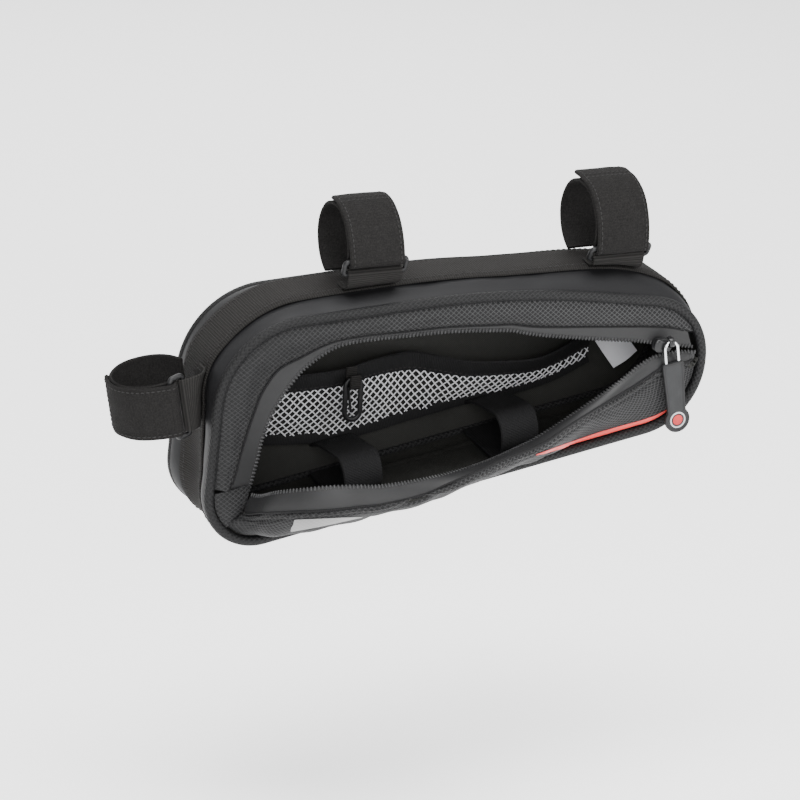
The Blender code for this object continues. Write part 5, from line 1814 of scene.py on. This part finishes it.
class TubeFrame:
    """A tube's own frame: width runs along it, away from the bag is up and forward is -Y."""

    def __init__(self, origin: Sequence[float], width: Sequence[float]) -> None:
        """Sets the axes from the tube's direction in the XZ plane."""
        self.origin = np.array([origin[0], 0.0, origin[1]])
        self.width = unit(np.array([width[0], 0.0, width[1]]))
        self.away = unit(np.array([-width[1], 0.0, width[0]]))

    def point(self, forward: Array, away: Array, width: Array) -> Array:
        """Points from their three coordinates in this frame."""
        return (self.origin + np.multiply.outer(forward, OUTWARDS)
                + np.multiply.outer(away, self.away) + np.multiply.outer(width, self.width))

    def direction(self, flat: Array) -> Array:
        """Directions from their forward and away parts."""
        return self.point(flat[..., 0], flat[..., 1], 0.0) - self.origin

    def webbing_height(self, forward: float, widths: Array) -> Array:
        """The webbing's face at one depth, over these widths along the tube."""
        places = OUTLINE.even_places(1400)
        raised = FORM.gap + FORM.webbing_thickness
        face = OUTLINE.gusset(places, np.array([-forward]), raised)[:, 0]
        width = (face - self.origin) @ self.width
        away = (face - self.origin) @ self.away
        near = (np.abs(width) < 0.056) & (away < 0) & (away > -0.056)
        order = np.argsort(width[near])
        return np.interp(widths, width[near][order], away[near][order])


def polar(radius: float | Array, angle: float | Array) -> Array:
    """Forward and away coordinates of points round a tube; angle 0 is straight forward."""
    return np.stack(np.broadcast_arrays(radius * np.cos(angle), radius * np.sin(angle)), axis=-1)


@dataclass
class TubeStrap:
    """A hook strap closed round a tube, its rectangular ring, and the tab that holds the ring."""
    name: str
    frame: TubeFrame
    width: float
    tube: float
    ring_angle: float
    tip_angle: float
    tip_lift: float
    thickness: float = 0.0016
    clearance: float = 0.0006
    gap: float = 0.0003
    ring_span: float = 0.0075
    ring_bar: float = 0.0024
    side_play: float = 0.0012
    tab_cloth: float = 0.0012
    cup: float = 0.00018
    fold_depth: float = 0.00012
    fold_size: float = 0.012
    fold_seed: int = 41
    tip_length: float = 0.006

    def build(self) -> None:
        """Makes and dresses the strap, ring and tab."""
        path, bar_radius = self.path()
        self.build_strap(path)
        self.build_ring(bar_radius)
        self.build_tab(bar_radius)

    def path(self) -> tuple[Array, float]:
        """The strap's middle line from the webbing round the tube and the ring's bar, and back."""
        inner = self.tube + self.clearance + self.thickness / 2
        turn = self.ring_bar / 2 + 2 * self.gap + self.thickness / 2
        bar_radius = inner + turn
        bar_angle = self.ring_angle + self.ring_span / 2 / bar_radius
        bar = polar(bar_radius, bar_angle)
        start = math.pi
        samples = np.linspace(-self.width / 2, self.width / 2, 15)
        for degrees in range(270, 180, -2):
            foot = polar(inner + self.thickness / 2, math.radians(degrees))
            if foot[1] - self.gap > self.frame.webbing_height(foot[0], samples).max():
                start = math.radians(degrees)
                break
        round_tube = polar(inner, np.linspace(start, bar_angle, 70))
        round_bar = bar + polar(turn, np.linspace(bar_angle + math.pi, bar_angle + math.tau, 25)[1:])
        top = inner + self.thickness + self.gap
        share = np.linspace(0.03, 1, 60)
        angle = bar_angle + (self.tip_angle - bar_angle) * share
        spread = (bar_radius + turn - top) * np.exp(-share * 7)
        lifted = self.tip_lift * np.clip(share - 0.8, 0, None) / 0.2
        over = polar(top + spread + lifted, angle)
        line = np.concatenate([round_tube, round_bar, over])
        return evenly(line, 260), bar_radius

    def build_strap(self, path: Array) -> None:
        """The band: a little cupped across its width, with a sewn hem near its free end."""
        across = np.linspace(-1, 1, 19)
        widths = across * self.width / 2 * np.ones((len(path), 1))
        run = lengths_along(path)[:, None]
        tip = smoothstep(0.0, self.tip_length, run[-1, 0] - run[:, 0])
        widths = widths * (0.82 + 0.18 * np.sqrt(tip))[:, None]
        tangent = unit(np.gradient(path, axis=0))
        normal = np.stack([tangent[:, 1], -tangent[:, 0]], axis=1)
        grid = np.stack([self.frame.point(path[:, 0], path[:, 1], 0.0)] * len(across), axis=1)
        grid = grid + widths[..., None] * self.frame.width
        side = self.frame.direction(normal)
        folds = ripples(run, widths, self.fold_size, self.fold_seed)
        cupped = self.cup * (1 - across ** 2) + self.fold_depth * folds
        grid = grid + side[:, None] * (self.thickness / 2 + cupped)[..., None]
        sewn(f"strap_{self.name}_band", grid, self.thickness, f"strap_{self.name}", Finish.STRAP, side=-1.0)
        thread = Stitching(pitch=0.0026, length=0.0019)
        thread.sew(grid, -surface_normals(grid), (-18, -24), (1, -2), 120, -3)
        thread.make(f"strap_{self.name}_stitches")

    def ring_axes(self, bar_radius: float) -> tuple[Array, Array, Array]:
        """The ring's centre, and the directions away from the tube and round it."""
        return (polar(bar_radius, self.ring_angle), polar(1.0, self.ring_angle),
                polar(1.0, self.ring_angle + math.pi / 2))

    def build_ring(self, bar_radius: float) -> None:
        """The ring: a flattened bar round a rectangle with round corners."""
        centre, outwards, upwards = self.ring_axes(bar_radius)
        half = self.width / 2 + self.side_play + self.ring_bar / 2
        corner = self.ring_bar * 0.75
        spots = []
        for quarter, (sign_width, sign_up) in enumerate(((1, 1), (-1, 1), (-1, -1), (1, -1))):
            angle = np.linspace(0, math.pi / 2, 7) + quarter * math.pi / 2
            width = sign_width * (half - corner) + corner * np.cos(angle)
            climb = sign_up * (self.ring_span / 2 - corner) + corner * np.sin(angle)
            flat = centre + upwards * climb[:, None]
            spots.append(self.frame.point(flat[:, 0], flat[:, 1], 0.0) + width[:, None] * self.frame.width)
        plane = self.frame.direction(outwards)
        path = np.concatenate(spots)
        path = evenly(np.concatenate([path, path[:1]]), 121)[:-1]
        piece = sweep(f"ring_{self.name}_bar", path, oval(self.ring_bar, self.ring_bar, 12, 0.8),
                      plane, closed=True)
        dress(piece, BAG, Finish.PLASTIC, replaces=[f"ring_{self.name}"])

    def build_tab(self, bar_radius: float) -> None:
        """The tab: webbing folded round the ring's lower bar and sewn down to the band below."""
        centre, outwards, upwards = self.ring_axes(bar_radius)
        low = centre - upwards * self.ring_span / 2
        turn = self.ring_bar / 2 + self.gap + self.tab_cloth / 2
        wrap = self.ring_angle + math.pi - np.linspace(0, math.pi, 25)
        path = np.concatenate([(low - outwards * turn - upwards * self.ring_bar)[None],
                               low + polar(turn, wrap)])
        leave = path[-1]
        half = self.width / 2
        widths = np.linspace(-half, half, 17)
        foot_far, foot_near = FORM.webbing_width * 0.24, FORM.webbing_width * 0.44
        rise = 2 * self.gap + self.tab_cloth / 2
        near = self.frame.webbing_height(foot_near, widths) + rise
        far = self.frame.webbing_height(foot_far, widths) + rise
        share = np.linspace(0, 1, 22)[1:, None]
        bend = foot_near + (leave[0] - foot_near) * 0.95
        forward = (1 - share) ** 2 * leave[0] + 2 * share * (1 - share) * bend + share ** 2 * foot_near
        away = (1 - share) ** 2 * leave[1] + (2 * share * (1 - share)) * (near + self.gap) + share ** 2 * near
        forward = np.broadcast_to(forward, away.shape)
        flat = np.linspace(0, 1, 9)[1:, None]
        forward = np.concatenate([np.tile(path[:, :1], (1, len(widths))), forward,
                                  np.tile(foot_near + (foot_far - foot_near) * flat, (1, len(widths)))])
        away = np.concatenate([np.tile(path[:, 1:], (1, len(widths))), away,
                               near + (far - near) * flat])
        grid = (self.frame.origin + forward[..., None] * OUTWARDS + away[..., None] * self.frame.away
                + widths[None, :, None] * self.frame.width)
        normals = surface_normals(grid)
        up = facing(grid, self.frame.away, -4)
        grid = grid + normals * up * self.tab_cloth / 2
        sewn(f"ring_tab_{self.name}_web", grid, self.tab_cloth, f"ring_tab_{self.name}", Finish.TAB,
             side=up)
        thread = Stitching(pitch=0.0025, length=0.0018)
        thread.sew(grid, normals * up, (-3, -8), (1, -2), -8)
        thread.make(f"ring_tab_{self.name}_stitches")


def tube_straps() -> list[TubeStrap]:
    """The three straps, two on the top tube and one on the seat tube."""
    angle = math.radians(80.4)
    drop = 0.072
    seat = np.array([-0.1867 + drop / math.tan(angle), -drop])
    radians = math.radians
    return [
        TubeStrap("rear", TubeFrame((-0.0675, 0.0), (1.0, 0.0)), 0.028, 0.0184, radians(-18),
                  radians(112), 0.0005),
        TubeStrap("front", TubeFrame((0.0675, 0.0), (1.0, 0.0)), 0.028, 0.0193, radians(-30),
                  radians(118), 0.0025),
        TubeStrap("seat", TubeFrame(seat, (-math.cos(angle), math.sin(angle))), 0.027, 0.0175,
                  radians(-20), radians(125), 0.0005),
    ]


# Stations of the pocket: along the bag, floor and top by height there, how far it stands open
POCKET_ROWS = (
    (0.105, 0.330, 0.600, 0.00), (0.150, 0.290, 0.585, 0.55), (0.212, 0.250, 0.575, 0.95),
    (0.324, 0.195, 0.555, 1.00), (0.403, 0.190, 0.560, 0.70), (0.478, 0.200, 0.535, 0.12),
    (0.530, 0.205, 0.500, 0.55), (0.590, 0.210, 0.450, 0.95), (0.660, 0.210, 0.428, 1.00),
    (0.730, 0.220, 0.415, 0.90), (0.790, 0.255, 0.455, 0.60), (0.850, 0.330, 0.540, 0.20),
)


@dataclass
class NetPocket:
    """The net pocket on the far panel, with elastic binding along its top."""
    form: CaseForm = FORM
    depth: float = 0.011
    net: float = 0.0010
    binding_height: float = 0.0095
    binding: float = 0.0016
    binding_swell: float = 0.0003
    binding_fold: float = 0.0002
    cell: float = 0.0043
    slant: float = 0.95
    unevenness: float = 0.00022
    cord: float = 0.00060
    half_girth: float = 0.00093
    flat: tuple[float, float] = (0.21, 0.036)
    sag: float = 0.0014
    slack: float = 0.0005
    hem_width: float = 0.0060
    hem: float = 0.0012

    def lines(self, count: int) -> tuple[Array, Array, Array]:
        """The floor, the binding's foot and the top edge, at this many even stations."""
        rows = through(np.array(POCKET_ROWS), np.linspace(0, 1, count))
        back = self.form.half_spacing - self.form.wall / 2 - self.form.gap
        floor = placed(OUTLINE.inside(rows[:, 0], rows[:, 1]), back - self.net)
        top = placed(OUTLINE.inside(rows[:, 0], rows[:, 2]), back - self.net - rows[:, 3] * self.depth)
        foot = top + unit(floor - top) * self.binding_height
        return floor, foot, top

    def build(self) -> None:
        """Makes the net from two families of slanting cords, and the binding."""
        floor, foot, top = self.lines(400)
        run = lengths_along(foot)
        tall = np.linalg.norm(foot - floor, axis=1)
        drop = np.linspace(0, tall.max(), 80)
        shares = np.linspace(0, 1, 15)
        pieces = []
        for heading in (1.0, -1.0):
            starts = np.arange(-tall.max(), run[-1] + tall.max(), self.cell)
            along = starts[:, None] + heading * self.slant * drop
            kept = (along > 0) & (along < run[-1]) & (drop < np.interp(along, run, tall) + 0.0004)
            long_enough = kept.sum(axis=1) > 5
            first = np.argmax(kept, axis=1)[long_enough]
            last = (kept.shape[1] - 1 - np.argmax(kept[:, ::-1], axis=1))[long_enough]
            deep = drop[first][:, None] + (drop[last] - drop[first])[:, None] * shares
            along = starts[long_enough][:, None] + heading * self.slant * deep
            along = np.clip(along + ripples(along, deep, 0.006, 52) * self.unevenness, 0, run[-1])
            part = np.clip(deep / np.interp(along, run, tall), 0, 1)[..., None]
            high, low = (read_rows(along, run, line) for line in (foot, floor))
            sag = (self.sag * np.sin(np.pi * part[..., 0])
                   + self.slack * ripples(along, deep, 0.016, 51))
            pieces.append(high + (low - high) * part
                          + OUTWARDS * (sag + heading * self.cord * 0.22)[..., None])
        lines = np.concatenate(pieces)
        tangent = unit(np.gradient(lines, axis=1))
        beside = unit(np.cross(tangent, OUTWARDS))
        sides = 6
        angle = math.tau * np.arange(sides) / sides
        ring = (beside[..., None, :] * np.cos(angle)[:, None] * self.cord * 0.6
                + OUTWARDS * np.sin(angle)[:, None] * self.cord * 0.36)
        points = lines[:, :, None] + ring
        count = points.shape[1] * sides
        one = quads_of(points.shape[1], sides, 0, False, True)
        shift = (np.arange(len(lines)) * count)[:, None, None]
        ends = np.stack([np.arange(sides), count - sides + np.arange(sides)])
        faces = [(shift + one).reshape(-1, 4), (shift + ends).reshape(-1, sides)]
        piece = build_mesh("pocket_net", points.reshape(-1, 3), faces, sharp=80.0)
        dress(piece, BAG, Finish.NET, replaces=["mesh_pocket"])
        self.build_binding(foot, top)
        hem = sweep("pocket_floor_tape", floor + OUTWARDS * self.hem / 2,
                    oval(self.hem_width, self.hem, 12, 0.5), OUTWARDS)
        dress(hem, BAG, Finish.BINDING)

    def build_binding(self, foot: Array, top: Array) -> None:
        """The binding: a folded elastic band with one row of stitches."""
        shares = np.linspace(0, 1, 13)
        grid = top[:, None] + (foot - top)[:, None] * shares[:, None]
        folds = ripples(lengths_along(top)[:, None], shares * self.binding_height, 0.009, 61)
        swell = self.binding_swell * np.sin(np.pi * shares) + self.binding_fold * folds
        grid = grid + OUTWARDS * (self.binding / 2 + swell)[..., None]
        side = facing(grid, OUTWARDS, 200)
        sewn("pocket_binding_band", grid, self.binding, "pocket_binding", Finish.BINDING, side=side)
        thread = Stitching(pitch=0.0028, length=0.0020)
        thread.row(grid[4:-4, -3], OUTWARDS)
        thread.make("pocket_binding_stitches")


@dataclass
class PumpBand:
    """One elastic band on the far panel that comes forward round the pump's space."""
    name: str
    along: float
    radius: float = 0.0118
    width: float = 0.020
    thickness: float = 0.0014
    forward: float = 0.012

    def build(self) -> None:
        """The band's path: from the panel over the pump's space, round it and back on the floor."""
        back = FORM.half_spacing - FORM.wall / 2 - FORM.gap - self.thickness
        spot = OUTLINE.inside(self.along, 0.0)
        slope = unit(OUTLINE.points[4] - OUTLINE.points[0])
        floor = spot[1] + (FORM.gusset_inset + FORM.wall + FORM.gap + self.thickness) / slope[0]
        middle = floor + self.radius
        turn = np.linspace(math.radians(75), math.radians(270), 12)
        path = [(back, middle + self.radius * 0.35), (back * 0.5, middle + self.radius * 0.72)]
        path += [(-self.forward + self.radius * math.cos(angle), middle + self.radius * math.sin(angle))
                 for angle in turn]
        path += [(back * 0.3, floor), (back, floor)]
        line = evenly(through(np.array(path), np.linspace(0, 1, 400)), 120)
        across = np.linspace(-0.5, 0.5, 15)
        sink = 0.0012 * bell(across, 0.0, 0.6)[None, :] * smoothstep(0.0, 0.02, lengths_along(line))[:, None]
        grid = np.stack(np.broadcast_arrays(
            spot[0] + across[None, :] * self.width * slope[0],
            line[:, :1],
            line[:, 1:] + across[None, :] * self.width * slope[1] - sink * 0.3), axis=-1)
        side = facing(grid, UPWARDS, 30)
        grid = grid + surface_normals(grid) * side * self.thickness / 2
        sewn(f"pump_band_{self.name}", grid, self.thickness, f"pump_loop_{self.name}", Finish.ELASTIC,
             side=side)


@dataclass
class KeyHook:
    """The key hook: a slim sprung clip on a short tape sewn to the pocket's binding."""
    along: float = 0.345
    length: float = 0.025
    width: float = 0.011
    wire: float = 0.0026
    tape_width: float = 0.005
    tape_drop: float = 0.009
    tape: float = 0.0012
    stand_off: float = 0.0011
    gate: tuple[float, float] = (0.0012, 0.0018)
    collar: tuple[float, float] = (0.0022, 0.0030)

    def build(self) -> None:
        """Makes the tape's loop, the clip's frame, its collar and its sprung gate."""
        top = NetPocket().lines(400)[2]
        x = float(OUTLINE.inside(self.along, 0.5)[0])
        edge = read_rows(x, top[:, 0], top)
        near = np.interp([x - self.tape_width, x, x + self.tape_width], top[:, 0], top[:, 1]).min()
        y = near - self.stand_off
        rows = np.array([(-0.2, 0.0), (0.35, 0.0), (0.8, 0.0008), (1.0, 0.0026), (0.86, 0.0052),
                         (0.5, 0.0056), (0.1, 0.0056)])
        smooth = evenly(through(np.stack([y - self.tape / 2 - rows[:, 1],
                                          edge[2] - rows[:, 0] * self.tape_drop], axis=1),
                                np.linspace(0, 1, 120)), 60)
        across = np.linspace(-self.tape_width / 2, self.tape_width / 2, 9)
        grid = np.stack(np.broadcast_arrays(x + across[None, :], smooth[:, :1], smooth[:, 1:]), axis=-1)
        side = facing(grid, OUTWARDS, 5)
        grid = grid + surface_normals(grid) * side * self.tape / 2
        sewn("hook_tape_loop", grid, self.tape, "hook_tape", Finish.TAB, side=side)

        bend = (self.width - self.wire) / 2
        straight = self.length - self.wire - 2 * bend
        ring_top = edge[2] - self.tape_drop * 0.42
        ring_y = y - self.tape / 2 - 0.0028
        turn = np.linspace(0, math.pi, 21)
        high = np.stack([x + bend * np.cos(turn), np.full(21, ring_y),
                         ring_top - bend + bend * np.sin(turn)], axis=1)
        low = np.stack([x - bend * np.cos(turn), np.full(21, ring_y),
                        ring_top - bend - straight - bend * np.sin(turn)], axis=1)
        path = np.concatenate([high, low, high[:1]])
        path = evenly(path, 161)[:-1]
        clip = sweep("key_clip_frame", path, oval(self.wire, self.wire * 0.8, 12, 0.8), OUTWARDS,
                     closed=True)
        dress(clip, BAG, Finish.PLASTIC, replaces=["key_hook"])
        gate = np.stack([x - bend + np.linspace(0.0016, 0.0034, 24), np.full(24, ring_y),
                         ring_top - bend - straight * np.linspace(0.05, 1.0, 24)], axis=1)
        piece = sweep("key_clip_gate", gate, oval(*self.gate, 10, 0.7), OUTWARDS)
        dress(piece, BAG, Finish.PLASTIC)
        collar = np.stack([x + np.linspace(-bend * 0.8, bend * 0.8, 16), np.full(16, ring_y),
                           np.full(16, ring_top - bend * 1.15)], axis=1)
        piece = sweep("key_clip_collar", collar, oval(*self.collar, 12, 0.7), OUTWARDS)
        dress(piece, BAG, Finish.PLASTIC)


@dataclass
class CareLabel:
    """The plain label inside: sewn along its top, askew, its free end curled forward."""
    along: float = 0.924
    up: float = 0.288
    lean: float = math.radians(32.7)
    width: float = 0.0156
    height: float = 0.0220
    thickness: float = 0.0005
    curl: float = 0.0065
    clearance: float = 0.0004
    wave: float = 0.0006

    def build(self) -> None:
        """The label leaves the panel as the power 1.8 of the way down."""
        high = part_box("care_label")[1]
        start_y = high.y - self.clearance
        spot = OUTLINE.inside(self.along, self.up)
        down = np.array([math.sin(self.lean), 0.0, -math.cos(self.lean)])
        across = np.array([math.cos(self.lean), 0.0, math.sin(self.lean)])
        start = placed(spot, start_y) - down * self.height
        rows, columns = np.linspace(0, 1, 40), np.linspace(-0.5, 0.5, 24)
        grid = (start + across * self.width * columns[None, :, None]
                + down * self.height * rows[:, None, None])
        grid[..., 1] -= self.curl * rows[:, None] ** 1.8
        grid[..., 1] -= self.wave * np.cos(columns * 5) * rows[:, None]
        side = facing(grid, OUTWARDS, 20)
        piece = sewn("care_label_cloth", grid, self.thickness, "care_label", Finish.LABEL, side=side)


@dataclass
class Studio:
    """A plain pale floor, soft light from large panels, and the photograph's camera."""
    floor_height: float = -0.30
    azimuth: float = math.radians(23.8)
    elevation: float = math.radians(21.2)
    roll: float = math.radians(2.8)
    lens: float = 144.9
    distance: float = 1.644
    target: tuple[float, float, float] = (-0.0406, 0.0015, -0.0892)
    picture_size: float = 800.0
    sensor: float = 36.0
    floor_reach: float = 12.0
    surround: float = 0.80
    lit_point: tuple[float, float, float] = (0.0, 0.0, -0.08)

    def axes(self) -> tuple[Array, Array, Array]:
        """The camera's right, up and back directions."""
        a, e, r = self.azimuth, self.elevation, self.roll
        back = np.array([-math.sin(a) * math.cos(e), -math.cos(a) * math.cos(e), math.sin(e)])
        level = np.array([math.cos(a), -math.sin(a), 0.0])
        upright = np.cross(level, -back)
        return (math.cos(r) * level + math.sin(r) * upright,
                -math.sin(r) * level + math.cos(r) * upright, back)

    def picture(self, points: Array) -> Array:
        """The picture's pixel column and row of each point, seen in perspective."""
        right, up, back = self.axes()
        from_camera = points - np.array(self.target) - back * self.distance
        scale = self.lens / self.sensor * self.picture_size / -(from_camera @ back)
        return np.stack([self.picture_size / 2 + from_camera @ right * scale,
                         self.picture_size / 2 - from_camera @ up * scale], axis=-1)

    def build(self) -> None:
        """Makes the floor, the lights and the camera."""
        self.build_floor()
        self.build_lights()
        self.build_camera()

    def build_floor(self) -> None:
        """A large flat floor well under the bag, which hangs."""
        corners = ((-1, -1), (1, -1), (1, 1), (-1, 1))
        points = np.array([(x * self.floor_reach, y * self.floor_reach, self.floor_height)
                           for x, y in corners])
        floor = build_mesh("studio_floor", points, [np.array([[0, 1, 2, 3]])])
        floor.data.materials.append(PaleFloor().make())

    def build_lights(self) -> None:
        """Soft panels round the bag and a bright even surround."""
        world = bpy.data.worlds.new("studio")
        world.use_nodes = True
        surround = world.node_tree.nodes["Background"]
        surround.inputs["Color"].default_value = (1.0, 1.0, 1.0, 1.0)
        surround.inputs["Strength"].default_value = self.surround
        bpy.context.scene.world = world
        panels = (
            ("overhead", (-0.10, -0.25, 1.30), (1.3, 0.7), 40.0),
            ("front_left", (-0.60, -1.60, 0.60), (0.8, 0.8), 24.0),
            ("front_right", (1.10, -1.40, 0.30), (0.8, 0.8), 14.0),
            ("behind", (0.30, 1.50, 0.70), (1.4, 1.0), 12.0),
        )
        for name, place, size, power in panels:
            data = bpy.data.lights.new(name, "AREA")
            data.shape = "RECTANGLE"
            data.size, data.size_y = size
            data.energy = power
            lamp = bpy.data.objects.new(name, data)
            lamp.location = place
            lamp.rotation_mode = "QUATERNION"
            lamp.rotation_quaternion = to_quaternion(np.array(self.lit_point) - np.array(place))
            bpy.context.scene.collection.objects.link(lamp)

    def build_camera(self) -> None:
        """The photograph's camera, turned about its own axis by the roll."""
        right, up, back = self.axes()
        data = bpy.data.cameras.new("camera")
        data.lens = self.lens
        data.sensor_width = self.sensor
        camera = bpy.data.objects.new("camera", data)
        matrix = np.eye(4)
        matrix[:3, 0], matrix[:3, 1], matrix[:3, 2] = right, up, back
        matrix[:3, 3] = np.array(self.target) + back * self.distance
        camera.matrix_world = matrix.T
        bpy.context.scene.collection.objects.link(camera)
        bpy.context.scene.camera = camera


def to_quaternion(aim: Array) -> tuple[float, float, float, float]:
    """The turn that points a light, which shines along its own -Z, along aim."""
    return tuple(Vector(aim).to_track_quat("-Z", "Y"))


def main() -> None:
    """Builds every sub-assembly in order."""
    logging.basicConfig(level=logging.INFO, format="%(name)s %(message)s", stream=sys.stdout)
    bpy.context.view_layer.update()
    Studio().build()
    CaseBand().build()
    RearPanel().build()
    FixedFront().build()
    Flap().build()
    slider = Slider()
    slider.build()
    Pull().build(slider)
    for strap in tube_straps():
        strap.build()
    NetPocket().build()
    for name, along in (("rear", 0.322), ("front", 0.632)):
        PumpBand(name, along).build()
    KeyHook().build()
    CareLabel().build()


if __name__ == "__main__":
    main()
